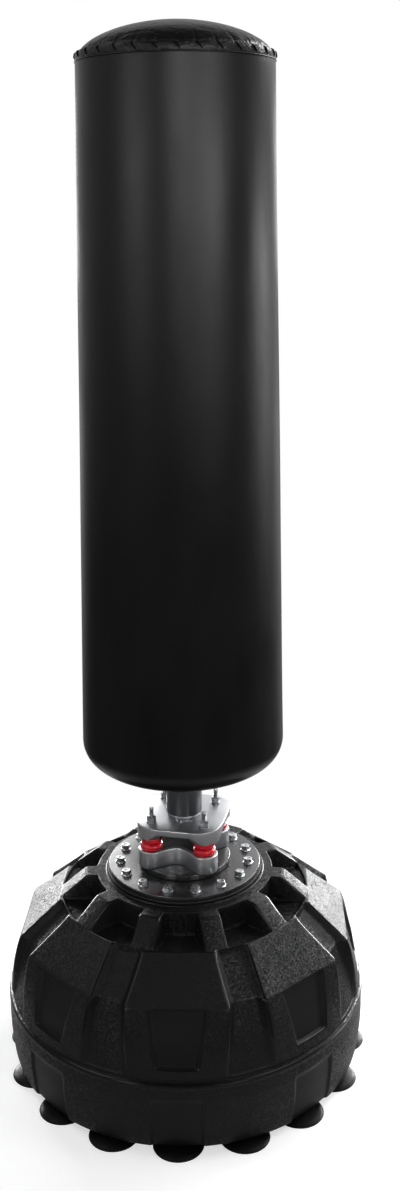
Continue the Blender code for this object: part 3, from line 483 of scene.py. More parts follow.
# Suction cups: sixteen moulded cups of smooth black rubber, pressed by their stems into the
# underside of the tank. Their thin rims lie on the floor and their shoulders show round the skirt.
def rounded(points, radius, steps=4, closed=False):
    """A section with each corner replaced by a short curve that starts the radius away from it."""
    out = []
    for i, here in enumerate(points):
        if not closed and i in (0, len(points) - 1):
            out.append(tuple(here))
            continue
        here, before, after = (
            Vector(p) for p in (here, points[i - 1], points[(i + 1) % len(points)]))
        reach = [min(radius, 0.48 * (p - here).length) for p in (before, after)]
        start = here + (before - here).normalized() * reach[0]
        end = here + (after - here).normalized() * reach[1]
        for j in range(steps + 1):
            t = j / steps
            out.append(tuple(start * (1 - t) ** 2 + here * 2 * t * (1 - t) + end * t * t))
    return out


def skin_over(bm, rings, closed=False, ends=()):
    """Faces between rings of vertices, a list for each band, then one over each ring in ends."""
    bands = []
    for a, b in zip(rings, rings[1:] + (rings[:1] if closed else [])):
        corners = [list(dict.fromkeys(c)) for c in zip(a, a[1:] + a[:1], b[1:] + b[:1], b)]
        bands.append([bm.faces.new(c) for c in corners if len(c) > 2])
    return bands + [[bm.faces.new(rings[end])] for end in ends]


def turn_on_axis(bm, section, segments, spot=(0, 0), closed=False):
    """Turns a section of (radius, z) points about a vertical axis. Radius 0 becomes one point."""
    rings = []
    for radius, z in section:
        if radius < 1e-7:
            rings.append([bm.verts.new((*spot, z))] * segments)
        else:
            rings.append([bm.verts.new((spot[0] + radius * math.sin(math.tau * i / segments),
                                        spot[1] - radius * math.cos(math.tau * i / segments), z))
                          for i in range(segments)])
    skin_over(bm, rings, closed)


def piece_of(bm, name, material, sharp=40):
    """Makes an object of a bmesh, faces outwards, smooth but for edges sharper than an angle."""
    bmesh.ops.recalc_face_normals(bm, faces=bm.faces)
    mesh = bpy.data.meshes.new(name)
    bm.to_mesh(mesh)
    bm.free()
    mesh.shade_smooth()
    mesh.set_sharp_from_angle(angle=math.radians(sharp))
    mesh.materials.append(material)
    item = bpy.data.objects.new(name, mesh)
    bpy.context.scene.collection.objects.link(item)
    return item


def dress(item, body, slot, *nodes):
    """The piece rides on its body and stands for these CAD nodes. Its slot is not used."""
    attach(item, body)
    if nodes:
        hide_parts(*nodes)


def grow(item, tree, **inputs):
    """Runs a Geometry Nodes tree on an object, and keeps the result as its plain mesh."""
    step = item.modifiers.new(tree.name, "NODES")
    step.node_group = tree
    for socket in tree.interface.items_tree:
        if socket.in_out == "INPUT" and socket.name in inputs:
            step[socket.identifier] = inputs[socket.name]
    graph = bpy.context.evaluated_depsgraph_get()
    mesh = bpy.data.meshes.new_from_object(item.evaluated_get(graph), depsgraph=graph)
    item.modifiers.remove(step)
    mesh.name = item.name
    item.data = mesh
    return item


def geometry_tree(name, **inputs):
    """A Geometry Nodes tree with a geometry in and out and these named inputs, and its two ends."""
    tree = bpy.data.node_groups.new(name, "GeometryNodeTree")
    tree.interface.new_socket("Geometry", in_out="INPUT", socket_type="NodeSocketGeometry")
    tree.interface.new_socket("Geometry", in_out="OUTPUT", socket_type="NodeSocketGeometry")
    for label, kind in inputs.items():
        tree.interface.new_socket(label, in_out="INPUT", socket_type="NodeSocket" + kind)
    return tree, add(tree, "NodeGroupInput").outputs


# Even copies of one piece, turned about the vertical axis of the whole object.
round_the_axis, given = geometry_tree(
    "round_the_axis", Count="Int", First_Angle="Float", Finish="Material")
tree = round_the_axis
step = add(tree, "ShaderNodeMath", {0: math.tau, 1: given["Count"]}, operation="DIVIDE")
angle = add(tree, "ShaderNodeMath", {
    0: add(tree, "GeometryNodeInputIndex"), 1: step, 2: given["First_Angle"],
}, operation="MULTIPLY_ADD")
turn = add(tree, "FunctionNodeEulerToRotation", {
    0: add(tree, "ShaderNodeCombineXYZ", {"Z": angle})})
copies = add(tree, "GeometryNodeInstanceOnPoints", {
    "Points": add(tree, "GeometryNodePoints", {"Count": given["Count"]}),
    "Instance": given["Geometry"], "Rotation": turn})
solid = add(tree, "GeometryNodeRealizeInstances", {"Geometry": copies})
add(tree, "NodeGroupOutput", {"Geometry": add(
    tree, "GeometryNodeSetMaterial", {"Geometry": solid, "Material": given["Finish"]})})

# Moulded rubber: deep black and smooth, with the soft shine of a new cup and a faint bloom in
# clouds of about 17 mm.
rubber, tree, shader, place = material_of(
    "moulded_rubber", Base_Color=linear("#0a0a0b"), Roughness=0.46,
    Specular_IOR_Level=0.12, IOR=1.52)
bloom = add(tree, "ShaderNodeTexNoise", {"Vector": place, "Scale": 60.0, "Detail": 4.0})
satin = add(tree, "ShaderNodeMapRange", {0: bloom.outputs["Fac"], 1: 0.3, 2: 0.7, 3: 0.40, 4: 0.52})
bumps = add(tree, "ShaderNodeBump", {
    "Strength": 0.15, "Distance": 0.0004, "Height": bloom.outputs["Fac"]})
wire(tree, shader, Roughness=satin, Normal=bumps)

CUPS, CUP_RING_R = 16, 0.2555
cup_section = [(0, 0.0058)] + rounded([
    (0.016, 0.0056), (0.0285, 0.0032), (0.0357, 0.0002), (0.0385, 0.0001), (0.0386, 0.0010),
    (0.0342, 0.0046), (0.0255, 0.0072), (0.0165, 0.0092), (0.0142, 0.0117), (0.0055, 0.0117),
], 0.004, 5) + [(0.0055, 0.0182), (0, 0.0182)]
bm = bmesh.new()
turn_on_axis(bm, cup_section, 40, (0, -CUP_RING_R))
cups = grow(piece_of(bm, "suction_cups", rubber, 60), round_the_axis,
            Count=CUPS, First_Angle=0.0, Finish=rubber)
dress(cups, "base", "black_rubber", *(f"suction_cup_{i:02d}" for i in range(1, CUPS + 1)))

# Filler cap: a screw cap of moulded polyethylene with finger grips, on a flat rubber seal, in the
# wide rear pocket where the tank is filled.
# Smooth polyethylene: black and waxy, with a soft sheen and flow marks of about 11 mm.
smooth_polyethylene, tree, shader, place = material_of(
    "smooth_polyethylene", Base_Color=linear("#0f0f10"), Roughness=0.36,
    Specular_IOR_Level=0.45, IOR=1.5)
swirl = add(tree, "ShaderNodeTexNoise", {"Vector": place, "Scale": 90.0, "Detail": 3.0})
bumps = add(tree, "ShaderNodeBump", {
    "Strength": 0.2, "Distance": 0.0003, "Height": swirl.outputs["Fac"]})
wire(tree, shader, Normal=bumps)

bm = bmesh.new()
seal = rounded([(0.0183, 0.2523), (0.0228, 0.2523), (0.0228, 0.2543), (0.0183, 0.2543)],
               0.0006, 3, closed=True)
turn_on_axis(bm, seal, 64, (0, FILLER_Y), closed=True)
dress(piece_of(bm, "filler_seal_ring", rubber), "cap_seal", "black_rubber", "filler_seal")

# The cap's section: radius, height, and how far the finger grips are dented there. Its plug has two
# turns of thread, and its top a bar to turn it by.
CAP_LOW, CAP_HIGH, CAP_R = 0.2546, 0.2681, 0.0245
CAP_GRIPS, GRIP_DEPTH, CAP_COLUMNS = 12, 0.0014, 144
bm = bmesh.new()
rings = []
for radius, z, grip in (
    (0.0140, 0.2440, 0), (0.0165, 0.2438, 0), (0.0172, 0.2446, 0), (0.0172, 0.2460, 0),
    (0.0166, 0.2468, 0), (0.0172, 0.2476, 0), (0.0172, 0.2490, 0), (0.0166, 0.2498, 0),
    (0.0172, 0.2506, 0), (0.0172, CAP_LOW, 0), (CAP_R - 0.0006, CAP_LOW, 1),
    (CAP_R, CAP_LOW + 0.0006, 1),
    (CAP_R - 0.0002, CAP_HIGH - 0.0022, 1), (CAP_R - 0.0007, CAP_HIGH - 0.0008, 0.8),
    (CAP_R - 0.0017, CAP_HIGH - 0.0002, 0.4), (CAP_R - 0.003, CAP_HIGH, 0), (0.0175, CAP_HIGH, 0),
    (0.0165, CAP_HIGH - 0.0008, 0), (0.0155, CAP_HIGH - 0.0012, 0),
):
    ring = []
    for i in range(CAP_COLUMNS):
        turn = math.tau * i / CAP_COLUMNS
        r = radius - GRIP_DEPTH * grip * max(0.0, math.cos(CAP_GRIPS * turn)) ** 0.7
        ring.append(bm.verts.new((r * math.sin(turn), FILLER_Y - r * math.cos(turn), z)))
    rings.append(ring)
skin_over(bm, rings, ends=(0, -1))
bmesh.ops.create_cube(bm, size=1.0, matrix=Matrix.Translation((0, FILLER_Y, CAP_HIGH - 0.0006))
                      @ Matrix.Diagonal((0.027, 0.0045, 0.0022, 1)))
dress(piece_of(bm, "filler_screw_cap", smooth_polyethylene),
      "cap", "black_polyethylene", "filler_cap")

# Neck: a flat rubber gasket on the neck, a round steel flange plate over it and a thick riser disc
# in its middle. The gasket is die-cut, and both plates are turned with broken edges.
# Sheet rubber: dull black, with a fine mottle of about 5 mm.
gasket_rubber, tree, shader, place = material_of(
    "sheet_rubber", Base_Color=linear("#101011"), Roughness=0.62, Specular_IOR_Level=0.35, IOR=1.52)
bloom = add(tree, "ShaderNodeTexNoise", {"Vector": place, "Scale": 220.0, "Detail": 3.0})
bumps = add(tree, "ShaderNodeBump", {
    "Strength": 0.3, "Distance": 0.0004, "Height": bloom.outputs["Fac"]})
wire(tree, shader, Normal=bumps)

# Powder coat: nearly black and glossy, with an orange peel of about 2.4 mm and a little haze.
powder_coat, tree, shader, place = material_of(
    "dark_powder_coat", Base_Color=linear("#1a1b1c"), Roughness=0.26,
    Specular_IOR_Level=0.8, IOR=1.5)
peel = add(tree, "ShaderNodeTexNoise", {"Vector": place, "Scale": 420.0, "Detail": 2.0})
bumps = add(tree, "ShaderNodeBump", {
    "Strength": 0.16, "Distance": 0.0003, "Height": peel.outputs["Fac"]})
haze = add(tree, "ShaderNodeTexNoise", {"Vector": place, "Scale": 30.0, "Detail": 4.0})
satin = add(tree, "ShaderNodeMapRange", {0: haze.outputs["Fac"], 1: 0.3, 2: 0.7, 3: 0.23, 4: 0.33})
wire(tree, shader, Roughness=satin, Normal=bumps)

for name, node, material, slot, (inner, outer), (low, high), bevel in (
    ("neck_gasket_ring", "neck_gasket", gasket_rubber, "black_rubber",
     (0.0605, 0.128), (0.2903, 0.2933), 0.0012),
    ("flange_disc", "flange_plate", powder_coat, "dark_painted_steel",
     (0.060, 0.1258), (0.2936, 0.3000), 0.0013),
    ("riser", "riser_disc", powder_coat, "dark_painted_steel",
     (0.0, 0.076), (0.3003, 0.3097), 0.0014),
):
    bm = bmesh.new()
    from_r = inner or outer - 0.02
    section = rounded([(from_r, low), (outer, low), (outer, high), (from_r, high)],
                      bevel, 4, bool(inner))
    if not inner:
        section = [(0, low)] + section + [(0, high)]
    turn_on_axis(bm, section, 160, closed=bool(inner))
    dress(piece_of(bm, name, material), "base", slot, node)


# Flange bolts: fifteen hexagon bolts with a washer face, 13 mm across flats, cold headed and zinc
# plated. They go through the flange and the gasket and are screwed into the neck.
def hex_head(bm, rings_below, flat, low, high, spot, segments=36, dish=0.0):
    """A hexagon head with chamfered corners over rings of (radius, z), closed at both ends."""
    crown = 0.95 * flat / 2
    turns = [math.tau * i / segments for i in range(segments)]
    sides = [flat / 2 / math.cos((t + math.pi / 6) % (math.pi / 3) - math.pi / 6) for t in turns]
    levels = [[(r, z)] * segments for r, z in rings_below]
    levels += [[(side, low) for side in sides],
               [(side, high - 0.62 * (side - crown)) for side in sides]]
    levels += [[(crown + 0.2 * (side - crown), high - 0.09 * (side - crown)) for side in sides]]
    levels += [[p] * segments for p in (
        (crown - 0.0002, high), (0.55 * crown, high - 0.3 * dish), (0.2 * crown, high - dish))]
    rings = [[bm.verts.new((spot[0] + r * math.sin(t), spot[1] - r * math.cos(t), z))
              for t, (r, z) in zip(turns, level)] for level in levels]
    skin_over(bm, rings, ends=(0, -1))


# Bright zinc plating: a clean grey metal with a thin passivation that blurs its reflections in
# clouds of about 4 mm.
zinc, tree, shader, place = material_of(
    "bright_zinc_plating", Base_Color=linear("#b4b6b9"), Metallic=1.0, Roughness=0.26)
cloud = add(tree, "ShaderNodeTexNoise", {"Vector": place, "Scale": 240.0, "Detail": 3.0})
satin = add(tree, "ShaderNodeMapRange", {0: cloud.outputs["Fac"], 1: 0.3, 2: 0.7, 3: 0.22, 4: 0.40})
bumps = add(tree, "ShaderNodeBump", {
    "Strength": 0.12, "Distance": 0.0002, "Height": cloud.outputs["Fac"]})
wire(tree, shader, Roughness=satin, Normal=bumps)

BOLTS, BOLT_CIRCLE_R, BOLT_SEAT = 15, 0.1065, 0.3003
bm = bmesh.new()
hex_head(bm, [
    (0.005, BOLT_SEAT - 0.022), (0.005, BOLT_SEAT), (0.0086, BOLT_SEAT),
    (0.0088, BOLT_SEAT + 0.0003),
    (0.0086, BOLT_SEAT + 0.0009), (0.0072, BOLT_SEAT + 0.0018),
], 0.0130, BOLT_SEAT + 0.0020, BOLT_SEAT + 0.0073, (0, -BOLT_CIRCLE_R), dish=0.0006)
bolts = grow(piece_of(bm, "flange_bolt_set", zinc, 28), round_the_axis,
             Count=BOLTS, First_Angle=math.pi, Finish=zinc)
dress(bolts, "base", "zinc_plated_steel", *(f"flange_bolt_{i:02d}" for i in range(1, BOLTS + 1)))

# Spring plates: two thick steel plates with a satin silver finish, machined and drilled. The lower
# one has four round lobes; the upper one is a bulging square with a pad at each corner.
# Satin nickel plating: a soft warm-grey metal with blurred reflections and a haze of about 18 mm,
# over the fine unevenness, about 3 mm, of the casting below it.
silver, tree, shader, place = material_of(
    "satin_nickel_plating", Base_Color=linear("#b4b5b8"), Metallic=1.0, Roughness=0.43)
haze = add(tree, "ShaderNodeTexNoise", {
    "Vector": place, "Scale": 55.0, "Detail": 5.0, "Roughness": 0.6})
satin = add(tree, "ShaderNodeMapRange", {0: haze.outputs["Fac"], 1: 0.3, 2: 0.7, 3: 0.38, 4: 0.47})
cast = add(tree, "ShaderNodeTexNoise", {"Vector": place, "Scale": 300.0, "Detail": 3.0})
bumps = add(tree, "ShaderNodeBump", {
    "Strength": 0.12, "Distance": 0.0003, "Height": cast.outputs["Fac"]})
wire(tree, shader, Roughness=satin, Normal=bumps)

# Painted shade: flat and nearly black, put where the plates face each other in place of the shade that falls
# between them.
painted_shade, tree, shader, place = material_of(
    "black_painted_shade", Base_Color=linear("#0c0c0d"), Roughness=0.75, Specular_IOR_Level=0.2, IOR=1.5)
mottle = add(tree, "ShaderNodeTexNoise", {"Vector": place, "Scale": 180.0, "Detail": 3.0})
bumps = add(tree, "ShaderNodeBump", {
    "Strength": 0.2, "Distance": 0.0003, "Height": mottle.outputs["Fac"]})
wire(tree, shader, Normal=bumps)

STUD_CIRCLE_R, STUD_TURN = 0.063, math.radians(34)
STUDS = [STUD_TURN + math.pi / 2 * i for i in range(4)]
stud_spots = [Vector((STUD_CIRCLE_R * math.sin(a), -STUD_CIRCLE_R * math.cos(a))) for a in STUDS]


def inset(outline, by):
    """A closed outline of Vectors moved inwards, square to its own line."""
    moved = []
    for i, here in enumerate(outline):
        along = (outline[(i + 1) % len(outline)] - outline[i - 1]).normalized()
        moved.append(here + Vector((-along.y, along.x)) * by)
    return moved


def cut_out(item, *cutters):
    """Cuts other objects out of one, and removes them."""
    for cutter in cutters:
        step = item.modifiers.new("cut", "BOOLEAN")
        step.operation = "DIFFERENCE"
        step.object = cutter
    graph = bpy.context.evaluated_depsgraph_get()
    mesh = bpy.data.meshes.new_from_object(item.evaluated_get(graph), depsgraph=graph)
    item.modifiers.clear()
    item.data = mesh
    mesh.shade_smooth()
    mesh.set_sharp_from_angle(angle=math.radians(32))
    for cutter in cutters:
        bpy.data.objects.remove(cutter)


# The lower plate: an arc of 140 degrees round each stud and a waist between, smoothed into one
# line. Inside its silver edge, its top is painted nearly black as painted shade.
LOWER_Z, LOWER_TOP_Z, LOBE_R, WAIST, SHADE_INSET = 0.3100, 0.3367, 0.022, 0.040, 0.0055
COUNTERBORE_R, COUNTERBORE_LEFT, STUD_HOLE_R, PAST = 0.0145, 0.0048, 0.0078, 0.002
straight = STUD_CIRCLE_R * math.sin(math.pi / 4)
outline = []
for a, spot in zip(STUDS, stud_spots):
    for i in range(25):
        t = a + math.radians(-70 + 140 * i / 24)
        outline.append(spot + LOBE_R * Vector((math.sin(t), -math.cos(t))))
    following = STUD_CIRCLE_R * Vector((math.sin(a + math.pi / 2), -math.cos(a + math.pi / 2)))
    for i in range(1, 24):
        share = i / 24
        side = straight + LOBE_R - (straight + LOBE_R - WAIST) * math.sin(math.pi * share) ** 1.1
        out = side * Vector((math.sin(a + math.pi / 4), -math.cos(a + math.pi / 4)))
        outline.append(out + 0.82 * (share - 0.5) * (following - spot))
smooth = np.array(outline)
for _ in range(6):
    smooth = 0.25 * np.roll(smooth, 1, 0) + 0.5 * smooth + 0.25 * np.roll(smooth, -1, 0)
outline = [Vector(p) for p in smooth]
bm = bmesh.new()
rings = [[bm.verts.new((*p, z)) for p in inset(outline, by)] for by, z in (
    (0.0012, LOWER_Z), (0.0003, LOWER_Z + 0.0004), (0, LOWER_Z + 0.0012), (0, LOWER_TOP_Z - 0.0018),
    (0.0002, LOWER_TOP_Z - 0.0010), (0.0007, LOWER_TOP_Z - 0.0004), (0.0016, LOWER_TOP_Z),
    (SHADE_INSET, LOWER_TOP_Z))]
# Painted shade: the top face inside the silver edge takes the second, nearly black material.
skin_over(bm, rings, ends=(0, -1))[-1][0].material_index = 1
lower = piece_of(bm, "lower_lobed_plate", silver)
lower.data.materials.append(painted_shade)
drills = []
for spot in stud_spots:
    bm = bmesh.new()
    turn_on_axis(bm, [
        (0, LOWER_Z - PAST), (COUNTERBORE_R, LOWER_Z - PAST),
        (COUNTERBORE_R, LOWER_TOP_Z - COUNTERBORE_LEFT),
        (STUD_HOLE_R, LOWER_TOP_Z - COUNTERBORE_LEFT),
        (STUD_HOLE_R, LOWER_TOP_Z + PAST), (0, LOWER_TOP_Z + PAST)], 40, spot)
    drills.append(piece_of(bm, "drill", silver))
cut_out(lower, *drills)
dress(lower, "base", "silver_painted_steel", "lower_spring_plate")

# The upper plate: a squared circle. Rings go out along its underside, which dips into pads round
# the studs, then up its edge and in over its top. Its underside's first rings are painted shade.
PAD_Z, PAD_HEIGHT, PLATE_TOP_Z, PLATE_SIDE, PLATE_CORNER = 0.3573, 0.0115, 0.3788, 0.072, 0.0845
PAD_R, PAD_BLEND, SHADED_BANDS = 0.0215, 0.011, 8
power = 1 / (0.5 - math.log2(PLATE_CORNER / PLATE_SIDE))
turns = [math.tau * i / 192 for i in range(192)]
edges = [PLATE_SIDE / (
    abs(math.cos(t - STUD_TURN + math.pi / 4)) ** power
    + abs(math.sin(t - STUD_TURN + math.pi / 4)) ** power) ** (1 / power) for t in turns]
bm = bmesh.new()
rings = []
for share, by, z in (
    (0.1, 0, None), (0.3, 0, None), (0.4, 0, None), (0.5, 0, None), (0.58, 0, None),
    (0.66, 0, None), (0.74, 0, None), (0.82, 0, None), (0.9, 0, None), (1, 0.0012, None),
    (1, 0.0003, 0.0004), (1, 0, 0.0012), (1, 0, PLATE_TOP_Z - 0.0016),
    (1, 0.0002, PLATE_TOP_Z - 0.0008), (1, 0.0006, PLATE_TOP_Z - 0.0003), (1, 0.0014, PLATE_TOP_Z),
    (0.5, 0, PLATE_TOP_Z), (0.1, 0, PLATE_TOP_Z),
):
    ring = []
    for t, reach in zip(turns, edges):
        spot = (share * reach - by) * Vector((math.sin(t), -math.cos(t)))
        nearest = min((spot - stud).length for stud in stud_spots)
        swell = min(max((nearest - PAD_R) / PAD_BLEND, 0), 1)
        under = PAD_Z + PAD_HEIGHT * swell * swell * (3 - 2 * swell)
        height = under if z is None else under + z if z < 0.01 else z
        ring.append(bm.verts.new((*spot, height)))
    rings.append(ring)
bands = skin_over(bm, rings, ends=(0, -1))
# Painted shade: these underside bands take the second, nearly black material.
for band in bands[:SHADED_BANDS] + bands[-2:-1]:
    for face in band:
        face.material_index = 1
upper = piece_of(bm, "upper_pad_plate", silver)
upper.data.materials.append(painted_shade)
drills = []
for spot in stud_spots:
    bm = bmesh.new()
    turn_on_axis(bm, [
        (0, PAD_Z - PAST), (0.0045, PAD_Z - PAST),
        (0.0045, PLATE_TOP_Z + PAST), (0, PLATE_TOP_Z + PAST)], 24, spot)
    drills.append(piece_of(bm, "drill", silver))
cut_out(upper, *drills)
dress(upper, "bag", "silver_painted_steel", "upper_spring_plate")

# Bushings: four springs of cast polyurethane, glossy and a little translucent, each in two tiers.
# They are squeezed between the plates, so the lower tier bends with the front-back rock and the
# upper tier with the sideways rock.
# Cast polyurethane: a deep signal red, clear at its edges, with a wet gloss over slow ripples of
# about 8 mm.
polyurethane, tree, shader, place = material_of(
    "cast_polyurethane", Base_Color=linear("#cf051f"), Roughness=0.20,
    Specular_IOR_Level=0.5, IOR=1.5,
    Subsurface_Weight=0.08, Subsurface_Scale=0.004, Coat_Weight=0.6, Coat_Roughness=0.06)
ripple = add(tree, "ShaderNodeTexNoise", {"Vector": place, "Scale": 130.0, "Detail": 2.0})
bumps = add(tree, "ShaderNodeBump", {
    "Strength": 0.25, "Distance": 0.0006, "Height": ripple.outputs["Fac"]})
wire(tree, shader, Normal=bumps)
BUSHING_LOW, BUSHING_MIDDLE, BUSHING_HIGH, BORE = 0.3370, 0.3470, 0.3570, 0.0085
tiers = {
    "bushing_lower_tiers": (("base", "bushings"), BUSHING_LOW, BUSHING_MIDDLE, [
        (BORE, BUSHING_LOW), (0.0162, BUSHING_LOW), (0.0183, BUSHING_LOW + 0.0012),
        (0.0189, BUSHING_LOW + 0.0045), (0.0183, BUSHING_LOW + 0.0075), (0.0160, BUSHING_MIDDLE),
        (BORE, BUSHING_MIDDLE)]),
    "bushing_upper_tiers": (("bushings", "bag"), BUSHING_MIDDLE, BUSHING_HIGH, [
        (BORE, BUSHING_MIDDLE), (0.0160, BUSHING_MIDDLE), (0.0172, BUSHING_MIDDLE + 0.0020),
        (0.0174, BUSHING_HIGH - 0.0040), (0.0168, BUSHING_HIGH - 0.0010), (0.0156, BUSHING_HIGH),
        (BORE, BUSHING_HIGH)]),
}
for name, (bodies, low, high, corners) in tiers.items():
    levels = [(BORE, high - (high - low) * i / 8) for i in range(1, 8)]
    bm = bmesh.new()
    turn_on_axis(bm, rounded(corners, 0.0022, 5) + levels, 48, (0, -STUD_CIRCLE_R), closed=True)
    tier = grow(piece_of(bm, name, polyurethane), round_the_axis,
                Count=4, First_Angle=STUD_TURN, Finish=polyurethane)
    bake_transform(tier, *bodies, start=(0, 0, low), end=(0, 0, high))
    if "lower" in name:
        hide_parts(*(f"bushing_{i}" for i in range(1, 5)))

# Studs: four M8 studs with flat heads in the lower plate and rolled threads above the upper one,
# each with a plain washer and a hexagon nut. Zinc plated like the bolts.
STUD_HEAD_Z, STUD_TIP_Z, THREAD_Z, PITCH = 0.3196, 0.4028, 0.3770, 0.00125
THREAD_R, THREAD_ROOT_R, HEAD_R = 0.0040, 0.00345, 0.0090
section = [(0, STUD_HEAD_Z), (HEAD_R - 0.0002, STUD_HEAD_Z), (HEAD_R, STUD_HEAD_Z + 0.0003),
           (HEAD_R, STUD_HEAD_Z + 0.0017), (HEAD_R - 0.0002, STUD_HEAD_Z + 0.002),
           (THREAD_R, STUD_HEAD_Z + 0.002), (THREAD_R, THREAD_Z)]
for i in range(int((STUD_TIP_Z - 0.001 - THREAD_Z) / PITCH)):
    low = THREAD_Z + i * PITCH
    section += [(THREAD_ROOT_R, low + 0.22 * PITCH), (THREAD_ROOT_R, low + 0.38 * PITCH),
                (THREAD_R, low + 0.72 * PITCH), (THREAD_R, low + 0.88 * PITCH)]
section += [(0.0031, STUD_TIP_Z), (0, STUD_TIP_Z)]
bm = bmesh.new()
turn_on_axis(bm, section, 24, (0, -STUD_CIRCLE_R))
studs = grow(piece_of(bm, "stud_set", zinc, 30), round_the_axis,
             Count=4, First_Angle=STUD_TURN, Finish=zinc)
dress(studs, "bag", "zinc_plated_steel", *(f"stud_{i}" for i in range(1, 5)))

SEAT = PLATE_TOP_Z + 0.0003
bm = bmesh.new()
turn_on_axis(bm, rounded([
    (0.0044, SEAT), (0.0085, SEAT), (0.0085, SEAT + 0.0015), (0.0044, SEAT + 0.0015),
], 0.0003, 2, closed=True), 40, (0, -STUD_CIRCLE_R), closed=True)
hex_head(bm, [(0.0042, SEAT + 0.0016), (0.0061, SEAT + 0.0016)], 0.013,
         SEAT + 0.0020, SEAT + 0.0100, (0, -STUD_CIRCLE_R), dish=0.0004)
nuts = grow(piece_of(bm, "nut_and_washer_set", zinc, 28), round_the_axis,
            Count=4, First_Angle=STUD_TURN, Finish=zinc)
dress(nuts, "bag", "zinc_plated_steel", *(f"stud_nut_{i}" for i in range(1, 5)))

# Post: a 60 mm steel tube in satin grey lacquer that drops over a spigot with a collar, welded to
# the upper plate. A plastic plug closes its top.
# Grey satin lacquer: a dark metallic grey with a soft shine, over the faint lines, about 2 mm
# apart, that the drawn tube keeps along its length.
lacquer, tree, shader, place = material_of(
    "grey_satin_lacquer", Base_Color=linear("#48494c"), Roughness=0.30, Specular_IOR_Level=0.5,
    Metallic=0.55)
along = add(tree, "ShaderNodeMapping", {"Vector": place, "Scale": (1.0, 1.0, 0.02)})
drawn = add(tree, "ShaderNodeTexNoise", {"Vector": along, "Scale": 500.0, "Detail": 2.0})
peel = add(tree, "ShaderNodeTexNoise", {"Vector": place, "Scale": 350.0, "Detail": 2.0})
relief = add(tree, "ShaderNodeMath", {
    0: drawn.outputs["Fac"], 1: peel.outputs["Fac"]}, operation="ADD")
bumps = add(tree, "ShaderNodeBump", {"Strength": 0.12, "Distance": 0.0003, "Height": relief})
wire(tree, shader, Normal=bumps)

POST_R, POST_BORE_R, POST_LOW_Z, POST_TOP_Z = 0.03015, 0.02765, 0.3836, 1.600
for name, node, material, slot, corners in (
    ("post", "post_tube", lacquer, "grey_painted_steel", [
        (POST_BORE_R, POST_LOW_Z), (POST_R, POST_LOW_Z),
        (POST_R, POST_TOP_Z), (POST_BORE_R, POST_TOP_Z)]),
    ("spigot_and_collar", "spigot", silver, "silver_painted_steel", [
        (0.0244, 0.3791), (0.0288, 0.3791), (0.0288, 0.3833), (0.0273, 0.3833), (0.0273, 0.5333),
        (0.0244, 0.5333)]),
):
    bm = bmesh.new()
    turn_on_axis(bm, rounded(corners, 0.0009, 3, closed=True), 96, closed=True)
    dress(piece_of(bm, name, material), "bag", slot, node)
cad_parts["post_plug"].data.materials.clear()
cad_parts["post_plug"].data.materials.append(smooth_polyethylene)

# Foam core: firm closed-cell foam that is wrapped to size, bored for the post, and fills the cover
# right up to the top, so that it is the padding of the whole bag.
# Closed-cell foam: dull grey, with cells of under 2 mm.
foam, tree, shader, place = material_of(
    "closed_cell_foam", Base_Color=linear("#8a8b8d"), Roughness=0.9, Specular_IOR_Level=0.2)
cells = add(tree, "ShaderNodeTexVoronoi", {"Vector": place, "Scale": 600.0}, feature="F1")
bumps = add(tree, "ShaderNodeBump", {
    "Strength": 0.5, "Distance": 0.0006, "Height": cells.outputs["Distance"]})
wire(tree, shader, Normal=bumps)

BAG_R, BAG_LOW_Z, CORNER_R = 0.1665, 0.4735, 0.038
SEAM_Z, DOME_H, DOME_FULLNESS = 1.631, 0.0695, 1.8
SIDE_GAP, DOME_GAP, BORE_GAP, BORE_TOP_Z = 0.0040, 0.0075, 0.0004, 1.6036


def crown_r(height, gap=0.0):
    """Radius of the domed top at a height over the seam, a gap inside its outer face."""
    share = np.clip(height / (DOME_H - gap), 0, 1)
    return (BAG_R - gap) * (1 - share ** 2) ** (1 / DOME_FULLNESS)


def side_section(gap, inner_r, steps=16):
    """The bag's side and bottom from the seam down and in, a gap inside the outer face. The point
    just under the seam keeps the shade of the seam's turned edge to a thin line."""
    points = [(BAG_R - gap, SEAM_Z), (BAG_R - gap, SEAM_Z - 0.0012)]
    levels = [SEAM_Z - (SEAM_Z - BAG_LOW_Z - CORNER_R) * i / 70 for i in range(1, 70)]
    points += [(BAG_R - gap, z) for z in levels]
    for i in range(steps + 1):
        t = math.pi / 2 * i / steps
        points.append((BAG_R - CORNER_R + (CORNER_R - gap) * math.cos(t),
                       BAG_LOW_Z + CORNER_R - (CORNER_R - gap) * math.sin(t)))
    start = points[-1][0]
    points += [(start + (inner_r - start) * i / 8, BAG_LOW_Z + gap) for i in range(1, 9)]
    return points


bm = bmesh.new()
heights = [(DOME_H - DOME_GAP) * math.cos(math.pi / 2 * i / 20) for i in range(1, 20)]
section = [(0, SEAM_Z + DOME_H - DOME_GAP)]
section += [(float(crown_r(h, DOME_GAP)), SEAM_Z + h) for h in heights]
section += side_section(SIDE_GAP, POST_R + BORE_GAP)
section += [(POST_R + BORE_GAP, BORE_TOP_Z), (0, BORE_TOP_Z)]
turn_on_axis(bm, section, 120)
core = piece_of(bm, "foam_filling", foam, 50)
dress(core, "bag", "grey_foam", "foam_core")

